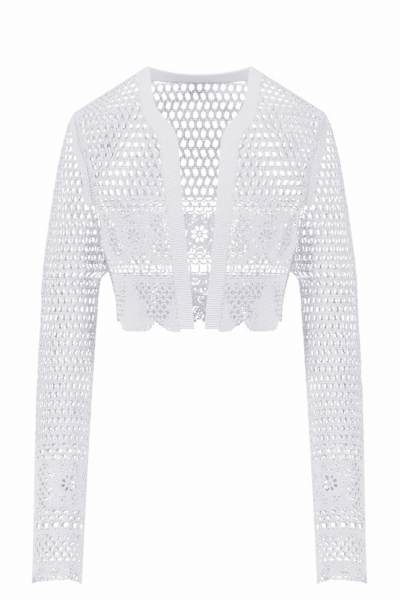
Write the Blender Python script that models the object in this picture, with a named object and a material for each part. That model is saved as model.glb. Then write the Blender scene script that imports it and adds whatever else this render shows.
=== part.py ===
"""Crochet cropped cardigan, open at the front, as it is worn with nobody in it.

+X is the wearer's left, -Y is the front and +Z is up. The origin lies between the shoulders at
the height of the neck. Lengths below are in millimetres and the meshes are in metres.

Each panel is drawn flat, as a maker would draw it, and then laid on the worn form. A flat place
is (across, up): across is measured along the cloth from the middle of the panel, and up is the
height, or above the chest line the way up the cloth.
"""
import math
from collections import namedtuple
from functools import partial

import bpy
import numpy as np
from mathutils import Vector
from mathutils.geometry import delaunay_2d_cdt

MM = 0.001
OBJECT = "crochet_cropped_cardigan"

# Cloth
PANEL_WALL = 2.0
BAND_WALL = 2.8
BAND_PROUD = 0.6
RIB_PITCH = 3.0
RIB_HEIGHT = 0.8
SEAM_GAP = 0.3
RIM_STRETCH = 1.9

# Heights
CHEST = -75.0
UNDERARM = -263.3
SHOULDER_TIP = -59.4
NECK_TOP = 2.7
HEM_FRONT = -351.0
HEM_BACK = -354.0
CUFF = -693.0

# The shoulder line, seen from the front
NECK_X = 69.5
NECK_SEAM_X = 87.0
TIP_X = 168.0

# Level sections of the torso form, each a rounded oblong
ROUNDNESS = 2.3
TORSO_COLUMNS = ("z", "half_width", "front", "back")
TORSO = (
    (NECK_TOP, NECK_X, 30, 54),
    (-6, 83.3, 40, 66),
    (-15, 97.6, 48, 77),
    (-30, 121.4, 57, 84),
    (-45, 145.2, 64, 89),
    (SHOULDER_TIP, TIP_X, 70, 93),
    (CHEST, 172.5, 75, 96),
    (-105, 176, 86, 100),
    (-135, 176, 95, 102),
    (-161, 172, 101, 103),
    (-193, 160, 104, 101),
    (-220, 146, 104, 99),
    (-245, 134, 102, 97),
    (UNDERARM, 127, 100, 95),
    (-286, 119.5, 97, 93),
    (-313, 113.5, 95, 91),
    (-360, 111, 92, 89),
)

# The armhole seam, seen from the front
ARMHOLE_COLUMNS = ("z", "x")
ARMHOLE = (
    (SHOULDER_TIP, TIP_X),
    (-77.5, 162.6),
    (-105.8, 156.6),
    (-135, 146.1),
    (-161.6, 141.5),
    (-193.5, 136.2),
    (-220, 132.4),
    (-245, 129.3),
    (UNDERARM, 127),
)

# Level sections of the sleeve form, each an ellipse; above SLEEVE_ROUND the armhole sets its depth
SLEEVE_ROUND = -200.0
SLEEVE_COLUMNS = ("z", "outer_x", "half_width", "depth", "forward")
SLEEVE = (
    (SHOULDER_TIP, TIP_X, 0, 0, 0),
    (-66, 172.5, 0, 0, 0),
    (-77, 177.5, 0, 0, 0),
    (-97, 183, 0, 0, 0),
    (-124, 189.5, 0, 0, 0),
    (-165, 196.5, 0, 0, 0),
    (SLEEVE_ROUND, 202, 0, 56.5, 0),
    (-220, 204.7, 0, 53, 0),
    (-245, 208.2, 0, 50, 0),
    (UNDERARM, 210.5, 41.75, 48, 0),
    (-286, 212.5, 39.8, 46.5, 0.5),
    (-340, 215, 38.5, 44.5, 2),
    (-407, 218.8, 38.2, 42, 5),
    (-516, 221.5, 36.3, 38, 10),
    (-583, 222.5, 35, 35, 14),
    (-651, 223.7, 33.9, 33, 17),
    (-700, 225.5, 33.7, 32, 19),
)
CAP_TURN = math.radians(60)
CAP_EASE = 1.2

# The band's two edges, seen from the front or the back
BandRow = namedtuple("BandRow", "free_x free_z seam_x seam_z")
BAND_FRONT = (
    (6.6, -348, 25.8, -348),
    (12.5, -286, 32.2, -286),
    (19.8, -212, 40, -213),
    (23.8, -160, 45, -161),
    (26.2, -126, 49.2, -130),
    (28.6, -98, 51.8, -101),
    (32, -85, 56, -92),
    (41.5, -72.5, 65, -81),
    (52.4, -64, 72, -73),
    (60.2, -47.5, 76.5, -56),
    (63.4, -34, 78.8, -40),
    (66, -10, 82, -19),
    (NECK_X, NECK_TOP, NECK_SEAM_X, None),
)
BAND_BACK = (
    (NECK_X, NECK_TOP, NECK_SEAM_X, None),
    (66, 1.4, 80, -11.2),
    (55, -0.6, 64, -13),
    (38, -3.2, 44, -14.2),
    (19, -4.7, 22, -14.9),
    (0, -5.2, 0, -15.2),
)
BAND_STEP = 15.0

# Scallops, flowers and rows of gaps
SCALLOP_REPEAT = {"front": 90.0, "back": 74.0}
SCALLOP_VALLEY = {"front": 62.6, "back": 0.0}
SCALLOP_DEPTH = {"front": 16.0, "back": 11.0}
VALLEY_WIDTH = 10.6
FLOWER_REPEAT = 69.2
FLOWER_HEIGHT = -225.6
FLOWER_INNER = 5.0
FLOWER_OUTER = 11.6
FLOWER_PETALS = 8
PETAL_SHARE = 0.68
PETAL_TAPER = 0.6
GapRow = namedtuple("GapRow", "height pitch width tall corners phase")
BODY_ROWS = {
    "front": (
        GapRow(-176.2, 10.4, 6.6, 4.6, 6, 0.5),
        GapRow(-185.6, 10.4, 6.6, 5.0, 6, 0.0),
        GapRow(-273.0, 10.4, 6.8, 8.4, 8, 0.5),
    ),
    "back": (
        GapRow(-176.2, 12.4, 8.4, 4.6, 6, 0.5),
        GapRow(-185.6, 12.4, 8.4, 5.0, 6, 0.0),
        GapRow(-273.0, 12.0, 8.6, 9.0, 8, 0.5),
    ),
}
CUFF_ROWS = (
    GapRow(-510.4, 14.1, 8.4, 5.0, 6, 0.0),
    GapRow(-609.5, 14.1, 8.4, 6.6, 8, 0.5),
)
CUFF_REPEAT = 94.1
CUFF_FLOWERS = 3
CUFF_FLOWER_AT = 87.5
CUFF_FLOWER_HEIGHT = -555.0
CUFF_SCALLOP_AT = 109.0
CUFF_SCALLOP_DEPTH = 12.0
CUFF_RISE = 10.0
CUFF_RISE_END = 142.0

# The lines that part the back in three nodes, and each sleeve in two
BACK_SPLIT_X = 95.0
BACK_SPLIT_POINTS = 14
BACK_SPLIT_HIGH = 4
SPLIT_BOTTOM = -480.0
SPLIT_AT = -53.6
SPLIT_POINTS = 20
CUFF_SPLIT_POINTS = 12

# Spacing of the walls' points, and how close they come to edges and gaps
TORSO_STEP = (17.0, 21.0)
SLEEVE_STEP = (13.5, 30.0)
HEM_STEP = 7.5
ARMHOLE_POINTS = 18
SHOULDER_POINTS = 8
SIDE_POINTS = 6
UNDERARM_POINTS = 22
EDGE_CLEAR = 5.0
GAP_CLEAR = 9.0
GAP_MARGIN = 1.2
GAP_REACH = 14.0
SAMPLES = 181
MERGE = 1e-4

COTTON = (0.83, 0.82, 0.86, 1.0)


def smooth(table, columns, name, z):
    """A column's value at height z, on a smooth curve through the table's rows."""
    rows = np.array(table, float)[::-1]
    heights, values = rows[:, 0], rows[:, columns.index(name)]
    slopes = np.gradient(values, heights)
    at = np.clip(np.asarray(z, float), heights[0], heights[-1])
    i = np.clip(np.searchsorted(heights, at) - 1, 0, len(heights) - 2)
    step = heights[i + 1] - heights[i]
    t = (at - heights[i]) / step
    return ((2 * t**3 - 3 * t**2 + 1) * values[i] + (t**3 - 2 * t**2 + t) * step * slopes[i]
            + (3 * t**2 - 2 * t**3) * values[i + 1] + (t**3 - t**2) * step * slopes[i + 1])


SHOULDER_SLOPE = (NECK_TOP - SHOULDER_TIP) / (TIP_X - NECK_X)


def half_width(z):
    """The torso section's half width, which is the shoulder line above the shoulder's tip."""
    line = NECK_X + (NECK_TOP - np.asarray(z, float)) / SHOULDER_SLOPE
    return np.where(np.asarray(z) > SHOULDER_TIP, line, smooth(TORSO, TORSO_COLUMNS, "half_width", z))


def shoulder_height(x):
    """The height of the shoulder line at x."""
    return NECK_TOP - (x - NECK_X) * SHOULDER_SLOPE


def depth(side, z):
    return smooth(TORSO, TORSO_COLUMNS, side, z)


def torso_y(side, x, z):
    """How far the torso form reaches forwards or back at x and z."""
    share = np.clip(1 - (np.abs(x) / half_width(z)) ** ROUNDNESS, 0, 1)
    return depth(side, z) * np.sqrt(share)


def section_lengths(side, z):
    """Points along a quarter of the torso's level section, and the way along it to each."""
    turn = np.linspace(0, math.pi / 2, SAMPLES)
    x = half_width(z) * np.sin(turn) ** (2 / ROUNDNESS)
    y = depth(side, z) * np.cos(turn)
    way = np.concatenate([[0], np.cumsum(np.hypot(np.diff(x), np.diff(y)))])
    return x, y, way


FULL = {side: section_lengths(side, UNDERARM)[2][-1] for side in ("front", "back")}


def rise(side, x):
    """Heights from the chest up to the form's top at x, and the way up the cloth to each."""
    top = shoulder_height(x) if x > NECK_X else NECK_TOP
    z = top - (top - CHEST) * (1 - np.linspace(0, 1, SAMPLES)) ** 2
    y = torso_y(side, x, z)
    if x > NECK_X:
        y[-1] = 0
    return z, y, np.concatenate([[0], np.cumsum(np.hypot(np.diff(z), np.diff(y)))])


def torso_stretch(side, z):
    """How much wider the flat panel is than the cloth at z, which it maps evenly across."""
    return FULL[side] / section_lengths(side, z)[2][-1]


def flat_of(side, x, z):
    """The flat place of the point at x and z on the torso; z None is on the shoulder line."""
    level = CHEST if z is None or z > CHEST else z
    xs, _, way = section_lengths(side, level)
    across = np.interp(x, xs, way) / way[-1] * FULL[side]
    if z is not None and z <= CHEST:
        return np.array((across, z))
    heights, _, up = rise(side, x)
    return np.array((across, CHEST + (up[-1] if z is None else np.interp(z, heights, up))))


def torso_place(side, across, up):
    """The point of the torso form at a flat place, and its outward normal."""
    sign = -1 if side == "front" else 1
    xs, ys, way = section_lengths(side, min(up, CHEST))
    s = abs(across) / FULL[side] * way[-1]
    x, y, z = np.interp(s, way, xs), np.interp(s, way, ys), up
    if up > CHEST:
        heights, depths, ways = rise(side, x)
        z, y = np.interp(up - CHEST, ways, heights), np.interp(up - CHEST, ways, depths)
    nudge = 0.25
    w, d = float(half_width(z)), float(depth(side, z))
    dw = (float(half_width(z + nudge)) - float(half_width(z - nudge))) / (2 * nudge)
    dd = (float(depth(side, z + nudge)) - float(depth(side, z - nudge))) / (2 * nudge)
    n = ROUNDNESS
    normal = np.array((n * x ** (n - 1) / w**n, sign * 2 * y / d**2,
                       -2 * y**2 * dd / d**3 - n * x**n * dw / w ** (n + 1)))
    flip = np.array((-1.0 if across < 0 else 1.0, 1, 1))
    return flip * (x, sign * y, z), flip * normal / np.linalg.norm(normal)


def armhole_x(z):
    return smooth(ARMHOLE, ARMHOLE_COLUMNS, "x", z)


def cap_reach(side, z):
    """How far round the sleeve the armhole seam lies at z, and the sleeve's depth there."""
    reach = float(torso_y(side, armhole_x(z), z))
    if z <= SLEEVE_ROUND:
        deep = float(smooth(SLEEVE, SLEEVE_COLUMNS, "depth", z))
        return math.pi - math.asin(min(1, reach / deep)), deep
    low = cap_reach(side, SLEEVE_ROUND)[0]
    share = (SHOULDER_TIP - z) / (SHOULDER_TIP - SLEEVE_ROUND)
    turn = CAP_TURN + (low - CAP_TURN) * max(share, 0) ** CAP_EASE
    return turn, reach / math.sin(turn)


def sleeve_section(side, z):
    """The sleeve's section at z: outer x, half width, depth, shift and how far round it goes."""
    outer = float(smooth(SLEEVE, SLEEVE_COLUMNS, "outer_x", z))
    shift = float(smooth(SLEEVE, SLEEVE_COLUMNS, "forward", z))
    if z <= UNDERARM:
        return (outer, float(smooth(SLEEVE, SLEEVE_COLUMNS, "half_width", z)),
                float(smooth(SLEEVE, SLEEVE_COLUMNS, "depth", z)), shift, math.pi)
    turn, deep = cap_reach(side, z)
    return outer, (outer - float(armhole_x(z))) / (1 - math.cos(turn)), deep, shift, turn


def sleeve_point(side, turn, z):
    outer, wide, deep, shift, _ = sleeve_section(side, z)
    sign = -1 if side == "front" else 1
    return np.array((outer - wide * (1 - math.cos(turn)), sign * deep * math.sin(turn) - shift, z))


def sleeve_ways(side, z):
    """Turns round half the sleeve at z, and the way along the cloth to each."""
    _, wide, deep, _, end = sleeve_section(side, z)
    turns = np.linspace(0, end, SAMPLES)
    steps = np.hypot(wide * np.sin(turns), deep * np.cos(turns))
    way = np.concatenate([[0], np.cumsum((steps[1:] + steps[:-1]) / 2 * np.diff(turns))])
    return turns, way


SLEEVE_FULL = sleeve_ways("front", UNDERARM)[1][-1]


def sleeve_stretch(z):
    """How much wider the flat sleeve is than the cloth at z, below the arm."""
    return SLEEVE_FULL / sleeve_ways("front", z)[1][-1]


def sleeve_place(across, up):
    """The point of the sleeve form at a flat place, and its outward normal."""
    side = "front" if across >= 0 else "back"
    turns, way = sleeve_ways(side, up)
    s = abs(across) / SLEEVE_FULL * way[-1] if up < UNDERARM else abs(across)
    turn = np.interp(s, way, turns)
    point = sleeve_point(side, turn, up)
    nudge, small = 1.0, 0.01
    low = min(up, SHOULDER_TIP - 2 * nudge)
    along = sleeve_point(side, turn, low - nudge) - sleeve_point(side, turn, low + nudge)
    turned = min(max(turn, 2 * small), math.pi - 2 * small)
    around = sleeve_point(side, turned + small, low) - sleeve_point(side, turned - small, low)
    normal = np.cross(around, along)
    if turned != turn:
        normal[1] = 0
    outward = np.array((math.cos(turn), math.sin(turn) * (-1 if side == "front" else 1), 0))
    normal *= np.sign(np.dot(normal, outward))
    return point, normal / np.linalg.norm(normal)


def spaced(points, step):
    """The polyline again, on a smooth curve through its points, with points about step apart."""
    points = np.array(points, float)
    way = np.concatenate([[0], np.cumsum(np.linalg.norm(np.diff(points, axis=0), axis=1))])
    slopes = np.gradient(points, way, axis=0)
    at = np.linspace(0, way[-1], max(2, round(way[-1] / step) + 1))
    i = np.clip(np.searchsorted(way, at) - 1, 0, len(way) - 2)
    size = (way[i + 1] - way[i])[:, None]
    t = ((at - way[i]) / size[:, 0])[:, None]
    return ((2 * t**3 - 3 * t**2 + 1) * points[i] + (t**3 - 2 * t**2 + t) * size * slopes[i]
            + (3 * t**2 - 2 * t**3) * points[i + 1] + (t**3 - t**2) * size * slopes[i + 1])


def armhole_heights():
    """Heights along the armhole seam from the underarm to the shoulder's tip, closer at its ends."""
    middle, half = (UNDERARM + SHOULDER_TIP) / 2, (SHOULDER_TIP - UNDERARM) / 2
    last = ARMHOLE_POINTS - 1
    return [middle - half * math.cos(math.pi * k / last) for k in range(ARMHOLE_POINTS)]


def armhole_flat(side):
    """The armhole seam on the torso's flat panel, from the underarm up."""
    places = [flat_of(side, float(armhole_x(z)), z) for z in armhole_heights()[1:-1]]
    return [np.array((FULL[side], UNDERARM))] + places + [flat_of(side, TIP_X, None)]


def armhole_seam(side, owner):
    """The seam's points on the torso or the sleeve, half the gap apart, and the walls' direction.

    Both walls end along the direction midway between their own normals, so their rims are
    parallel, and the crease under the arm runs straight up into the garment.
    """
    points, normals = [], []
    for (across, up), z in zip(armhole_flat(side), armhole_heights()):
        point, torso = torso_place(side, across, up)
        way = sleeve_ways(side, z)[1][-1]
        sleeve = sleeve_place(way if side == "front" else -way, z)[1]
        both = torso + sleeve
        both /= np.linalg.norm(both)
        points.append(point)
        normals.append(both * min(RIM_STRETCH, 1 / max(np.dot(both, torso), 0.1)))
    normals[0] = np.array((0, 0, -RIM_STRETCH))
    normals[-1] = torso_place(side, *armhole_flat(side)[-1])[1]
    half_gap, last = SEAM_GAP / 2, len(points) - 1
    edge = []
    for k, (point, normal) in enumerate(zip(points, normals)):
        tangent = np.array((0, 1, 0)) if k in (0, last) else points[k + 1] - points[k - 1]
        apart = np.cross(tangent, normal)
        apart *= np.sign(apart[0]) / np.linalg.norm(apart)
        moved = point + apart * (half_gap if owner == "sleeve" else -half_gap)
        if k in (0, last):
            moved[1] = -half_gap if side == "front" else half_gap
        edge.append((moved, normal))
    return edge


def hem(side, across):
    """The scalloped hem's height at a place across the torso panel."""
    middle = HEM_FRONT if side == "front" else HEM_BACK
    base = middle + ((HEM_FRONT + HEM_BACK) / 2 - middle) * (across / FULL[side]) ** 2
    repeat = SCALLOP_REPEAT[side]
    off = (abs(across) - SCALLOP_VALLEY[side] + repeat / 2) % repeat - repeat / 2
    return base + SCALLOP_DEPTH[side] * math.exp(-(off / VALLEY_WIDTH) ** 2)


def cuff_hem(across):
    """The scalloped cuff's height at a place round the sleeve."""
    off = (across - CUFF_SCALLOP_AT + CUFF_REPEAT / 2) % CUFF_REPEAT - CUFF_REPEAT / 2
    front = max(0.0, math.sin(math.pi * min(1, max(0, across / CUFF_RISE_END))))
    return CUFF + CUFF_RISE * front + CUFF_SCALLOP_DEPTH * math.exp(-(off / VALLEY_WIDTH) ** 2)


def hem_points(height_of, start, end):
    """The points along a scalloped edge, closer together in its valleys."""
    count = max(2, round(abs(end - start) / HEM_STEP))
    places = [start + (end - start) * k / count for k in range(count + 1)]
    return [np.array((a, height_of(a))) for a in places]


def inset(outline, gap):
    """A closed flat outline drawn in by the gap on every side; it runs anticlockwise."""
    points = np.array(outline)
    ahead, behind = np.roll(points, -1, axis=0) - points, points - np.roll(points, 1, axis=0)
    normals = []
    for edge in (ahead, behind):
        edge = edge / np.linalg.norm(edge, axis=1)[:, None]
        normals.append(np.stack([-edge[:, 1], edge[:, 0]], axis=1))
    mitre = normals[0] + normals[1]
    mitre /= np.maximum((mitre**2).sum(axis=1, keepdims=True) / 2, 0.5)
    return points + gap * mitre


def inside(point, outline):
    """Whether a flat point lies in a closed outline."""
    x, y = outline[:, 0], outline[:, 1]
    x2, y2 = np.roll(x, -1), np.roll(y, -1)
    crosses = (y > point[1]) != (y2 > point[1])
    safe = np.where(y2 == y, 1, y2 - y)
    return bool(np.sum(crosses & (point[0] < x + (point[1] - y) * (x2 - x) / safe)) % 2)


def far_from_edge(point, outline, least):
    """Whether a flat point is at least that far from an outline's sides."""
    a, b = outline, np.roll(outline, -1, axis=0)
    side = b - a
    t = np.clip(((point - a) * side).sum(1) / (side**2).sum(1), 0, 1)
    return np.linalg.norm(point - a - t[:, None] * side, axis=1).min() >= least


def oval(centre, wide, tall, corners):
    """A gap with rounded ends: 6 corners make an oval and 8 a square with cut corners."""
    if corners == 6:
        shape = [(-0.5, 0), (-0.28, -0.5), (0.28, -0.5), (0.5, 0), (0.28, 0.5), (-0.28, 0.5)]
    else:
        shape = [(-0.5, -0.25), (-0.25, -0.5), (0.25, -0.5), (0.5, -0.25),
                 (0.5, 0.25), (0.25, 0.5), (-0.25, 0.5), (-0.5, 0.25)]
    return [np.array((centre[0] + x * wide, centre[1] + y * tall)) for x, y in shape]


def flower(centre, stretch):
    """The wedge-shaped gaps between a flower's petals, which are kept or left out together."""
    gaps = []
    half = math.pi / FLOWER_PETALS * PETAL_SHARE
    for k in range(FLOWER_PETALS):
        middle = 2 * math.pi * (k + 0.5) / FLOWER_PETALS
        corners = ((FLOWER_INNER, -half * PETAL_TAPER), (FLOWER_OUTER, -half),
                   (FLOWER_OUTER, half), (FLOWER_INNER, half * PETAL_TAPER))
        gaps.append([np.array((centre[0] + stretch * r * math.cos(middle + turn),
                               centre[1] + r * math.sin(middle + turn))) for r, turn in corners])
    return gaps


def rows_of_gaps(rows, reach, stretch_at):
    """The gaps of each row, out to the reach on both sides of the panel's middle, one to a group."""
    groups = []
    for row in rows:
        stretch = stretch_at(row.height)
        pitch = row.pitch * stretch
        count = int(reach / pitch) + 1
        groups += [[oval(((k + row.phase) * pitch, row.height), row.width * stretch, row.tall, row.corners)]
                   for k in range(-count, count + 1)]
    return groups


def fits(gap, outline):
    return all(inside(p, outline) and far_from_edge(p, outline, GAP_MARGIN) for p in gap)


def flat_mesh(outline, groups, step):
    """Points and triangles of a flat panel, with those of its gaps open that fit on it whole."""
    kept = [gap for group in groups if all(fits(g, outline) for g in group) for gap in group]
    centres = [np.mean(g, axis=0) for g in kept]
    points, edges = [Vector(p) for p in outline], []
    loops = [list(range(len(outline)))]
    for gap in kept:
        loops.append(list(range(len(points), len(points) + len(gap))))
        points += [Vector(p) for p in gap]
    for loop in loops:
        edges += [(a, b) for a, b in zip(loop, loop[1:] + loop[:1])]
    low, high = outline.min(axis=0), outline.max(axis=0)
    for across in np.arange(low[0] + step[0] / 2, high[0], step[0]):
        for up in np.arange(low[1] + step[1] / 2, high[1], step[1]):
            place = np.array((across, up))
            near = any(np.linalg.norm(place - c) < GAP_CLEAR for c in centres)
            if not near and inside(place, outline) and far_from_edge(place, outline, EDGE_CLEAR):
                points.append(Vector(place))
    places, _, faces, origins, _, _ = delaunay_2d_cdt(points, edges, [], 1, MERGE)
    holes = [np.array(g) for g in kept]
    triangles = []
    for face in faces:
        middle = np.mean([places[i] for i in face], axis=0)
        near = [h for h, c in zip(holes, centres) if np.linalg.norm(c - middle) < GAP_REACH]
        if not any(inside(middle, h) for h in near):
            triangles.append(tuple(face))
    return places, triangles, origins, len(kept)


def cotton(name):
    """Undyed white cotton yarn, matt and a little fuzzy."""
    material = bpy.data.materials.new(name)
    material.use_nodes = True
    shader = material.node_tree.nodes["Principled BSDF"]
    shader.inputs["Base Color"].default_value = COTTON
    shader.inputs["Roughness"].default_value = 0.9
    shader.inputs["Metallic"].default_value = 0.0
    material.diffuse_color = COTTON
    return material


def solid(name, points, faces):
    """A closed body of triangles, with its faces turned outwards."""
    points = np.array(points)
    corners = points[np.array(faces)]
    volume = np.einsum("ij,ij->i", corners[:, 0], np.cross(corners[:, 1], corners[:, 2])).sum()
    if volume < 0:
        faces = [tuple(reversed(f)) for f in faces]
    mesh = bpy.data.meshes.new(name)
    mesh.from_pydata([tuple(p * MM) for p in points], [], faces)
    mesh.validate()
    mesh.shade_smooth()
    mesh.set_sharp_from_angle(angle=math.radians(40))
    mesh.materials.append(cotton(name + "_cotton"))
    bpy.data.collections[OBJECT].objects.link(bpy.data.objects.new(name, mesh))


def cloth(name, outline, groups, step, place, directions, mirrored=False):
    """One flat panel laid on the form as a wall, with a rim along every open edge."""
    drawn = inset(outline, SEAM_GAP / 2)
    places, triangles, origins, gap_count = flat_mesh(drawn, groups, step)
    outer, inner = [], []
    turned = np.array((-1.0 if mirrored else 1.0, 1, 1))
    for flat, sources in zip(places, origins):
        point, normal = place(*flat)
        for source in sources:
            point, normal = directions.get(source, (point, normal))
        outer.append(point * turned)
        inner.append((point - PANEL_WALL * normal) * turned)
    count = len(outer)
    faces = list(triangles) + [tuple(i + count for i in reversed(f)) for f in triangles]
    edges = {edge for f in triangles for edge in zip(f, f[1:] + f[:1])}
    for a, b in sorted(edges):
        if (b, a) not in edges:
            faces += [(b, a, a + count), (b, a + count, b + count)]
    solid(name, outer + inner, faces)
    print(f"{name}: {gap_count} gaps")


def band_edges(rows, side):
    """The band's free and seam edges on the flat panel, at even steps along it."""
    free, seam = [], []
    for row in map(BandRow._make, rows):
        free.append(flat_of(side, row.free_x, None if row.free_x == NECK_X else row.free_z))
        seam.append(flat_of(side, row.seam_x, row.seam_z))
    seam = spaced(seam, BAND_STEP)
    free = spaced(free, BAND_STEP)
    way = np.concatenate([[0], np.cumsum(np.linalg.norm(np.diff(free, axis=0), axis=1))])
    share = np.linspace(0, way[-1], len(seam))
    return np.stack([np.interp(share, way, free[:, k]) for k in (0, 1)], axis=1), seam


def outer_edge(side, low):
    """The side seam from the hem's height and then the armhole, and how many points are the seam's."""
    seam = [np.array((FULL[side], z)) for z in np.linspace(low, UNDERARM, SIDE_POINTS)[1:-1]]
    return seam + armhole_flat(side), len(seam)


def shoulder_points(side, end):
    """Points on the shoulder line, from its tip inwards to x at the end."""
    return [flat_of(side, x, None) for x in np.linspace(TIP_X, end, SHOULDER_POINTS)[1:]]


def flowers_on(side):
    """The gaps of the flowers on the torso panel's +X half, counted from the middle of the back."""
    whole = FULL["front"] + FULL["back"]
    places = np.arange(0, whole, FLOWER_REPEAT)
    if side == "front":
        places = whole - places
    stretch = torso_stretch(side, FLOWER_HEIGHT)
    return [flower((p, FLOWER_HEIGHT), stretch) for p in places if 0 <= p < FULL[side]]


def armhole_directions(side, first):
    """The armhole's points and walls' directions, by their place in an outline."""
    return {first + k: edge for k, edge in enumerate(armhole_seam(side, "torso"))}


def make_fronts():
    seam = band_edges(BAND_FRONT, "front")[1]
    bottom = hem_points(partial(hem, "front"), seam[0][0], FULL["front"])
    outer, seam_count = outer_edge("front", bottom[-1][1])
    outline = bottom + outer + shoulder_points("front", NECK_SEAM_X) + list(seam[-2:0:-1])
    gaps = rows_of_gaps(BODY_ROWS["front"], FULL["front"], partial(torso_stretch, "front"))
    gaps += flowers_on("front")
    directions = armhole_directions("front", len(bottom) + seam_count)
    for name, mirrored in (("front_left", False), ("front_right", True)):
        cloth(name, np.array(outline), gaps, TORSO_STEP, partial(torso_place, "front"),
              directions, mirrored)


def back_split():
    """The line on the flat back that parts its middle from its side, from the hem to the shoulder."""
    low = flat_of("back", BACK_SPLIT_X, HEM_BACK)[0]
    heights = np.linspace(hem("back", low), CHEST, BACK_SPLIT_POINTS)
    line = [np.array((low, heights[0]))] + [flat_of("back", BACK_SPLIT_X, z) for z in heights[1:]]
    top = flat_of("back", BACK_SPLIT_X, None)
    rest = [line[-1] + (top - line[-1]) * k / BACK_SPLIT_HIGH for k in range(1, BACK_SPLIT_HIGH + 1)]
    return line + rest


def make_back():
    mirror = np.array((-1, 1))
    gaps = rows_of_gaps(BODY_ROWS["back"], FULL["back"], partial(torso_stretch, "back"))
    flowers = flowers_on("back")
    gaps += flowers + [[[p * mirror for p in gap] for gap in group] for group in flowers[1:]]
    place = partial(torso_place, "back")
    split = back_split()
    neck = list(band_edges(BAND_BACK, "back")[1])
    half = hem_points(partial(hem, "back"), 0.0, split[0][0])[:-1] + split + neck
    outline = half + [p * mirror for p in half[-2:0:-1]]
    cloth("back_middle", np.array(outline), gaps, TORSO_STEP, place, {})
    bottom = hem_points(partial(hem, "back"), split[0][0], FULL["back"])
    outer, seam_count = outer_edge("back", bottom[-1][1])
    outline = bottom + outer + shoulder_points("back", BACK_SPLIT_X)[:-1] + split[:0:-1]
    directions = armhole_directions("back", len(bottom) + seam_count)
    for name, mirrored in (("back_left", False), ("back_right", True)):
        cloth(name, np.array(outline), gaps, TORSO_STEP, place, directions, mirrored)


def split_line():
    """The line that parts each sleeve in two, from the shoulder's tip down to the cuff."""
    heights = np.linspace(SHOULDER_TIP, SPLIT_BOTTOM, SPLIT_POINTS)
    line = [np.array((SPLIT_AT * k / (SPLIT_POINTS - 1), z)) for k, z in enumerate(heights)]
    lower = np.linspace(SPLIT_BOTTOM, cuff_hem(SPLIT_AT), CUFF_SPLIT_POINTS)
    return line + [np.array((SPLIT_AT, z)) for z in lower[1:-1]]


def cap_flat(side):
    """The armhole seam on the flat sleeve, from the underarm up, the front's across being plus."""
    sign = 1 if side == "front" else -1
    return [np.array((sign * sleeve_ways(side, z)[1][-1], z)) for z in armhole_heights()]


def make_sleeves():
    split = split_line()
    inner_heights = np.linspace(UNDERARM, cuff_hem(SLEEVE_FULL), UNDERARM_POINTS)[1:-1]
    gaps = rows_of_gaps(CUFF_ROWS, SLEEVE_FULL, sleeve_stretch)
    for k in range(CUFF_FLOWERS):
        centre = (CUFF_FLOWER_AT - k * CUFF_REPEAT, CUFF_FLOWER_HEIGHT)
        gaps.append(flower(centre, sleeve_stretch(CUFF_FLOWER_HEIGHT)))
    for side in ("front", "back"):
        sign = 1 if side == "front" else -1
        seam = [np.array((sign * SLEEVE_FULL, z)) for z in inner_heights]
        cap = cap_flat(side)
        bottom = hem_points(cuff_hem, SPLIT_AT, sign * SLEEVE_FULL)
        cap[-1] = split[0]
        outline = bottom + seam[::-1] + cap + split[1:]
        first = len(bottom) + len(seam)
        directions = {first + k: edge for k, edge in enumerate(armhole_seam(side, "sleeve"))}
        if sign < 0:
            outline = outline[::-1]
            directions = {len(outline) - 1 - i: n for i, n in directions.items()}
        for name, mirrored in (("left", False), ("right", True)):
            cloth(f"sleeve_{name}_{side}", np.array(outline), gaps, SLEEVE_STEP, sleeve_place,
                  directions, mirrored)


def band_rings():
    """The band's free and seam edge at each step along it: two points with their directions."""
    half = []
    for side, rows in (("front", BAND_FRONT), ("back", BAND_BACK)):
        free, seam = band_edges(rows, side)
        for f, s in list(zip(free, seam))[0 if side == "front" else 1:]:
            end = f + (s - f) * (1 - SEAM_GAP / 2 / np.linalg.norm(s - f))
            half.append(np.array((torso_place(side, *f), torso_place(side, *end))))
    return [ring * np.array((-1, 1, 1)) for ring in half] + half[-2::-1]


def make_band():
    """The rib band, from one front hem round the neck to the other: ribs across it, plain inside."""
    rings = band_rings()
    ribbed, inner, starts = [], [], []
    for ring, after in zip(rings, rings[1:] + [None]):
        starts.append(len(ribbed))
        inner += [p - (BAND_WALL - BAND_PROUD) * n for p, n in ring]
        if after is None:
            halves = 1
        else:
            length = np.linalg.norm(after[:, 0].mean(axis=0) - ring[:, 0].mean(axis=0))
            halves = 2 * max(1, round(length / RIB_PITCH))
        for k in range(halves):
            mixed = ring if k == 0 else ring + (after - ring) * k / halves
            height = BAND_PROUD - (0 if k % 2 else RIB_HEIGHT)
            ribbed.append([p + height * n / np.linalg.norm(n) for p, n in mixed])
    points = [p for pair in ribbed for p in pair] + inner
    base = 2 * len(ribbed)
    faces = []
    for k in range(len(ribbed) - 1):
        a = 2 * k
        faces += [(a, a + 2, a + 3), (a, a + 3, a + 1)]
    for i, (start, end) in enumerate(zip(starts, starts[1:])):
        near, far, middle = base + 2 * i, base + 2 * i + 2, (start + end) // 2
        faces += [(near, far + 1, far), (near, near + 1, far + 1)]
        faces += [(2 * middle, near, far), (2 * middle + 1, far + 1, near + 1)]
        for k in range(start, end):
            to = near if k < middle else far
            faces += [(2 * k + 2, 2 * k, to), (2 * k + 1, 2 * k + 3, to + 1)]
    last, tail = base - 2, len(points) - 2
    faces += [(0, 1, base + 1), (0, base + 1, base)]
    faces += [(last, tail, tail + 1), (last, tail + 1, last + 1)]
    solid("neck_band", points, faces)


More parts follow.
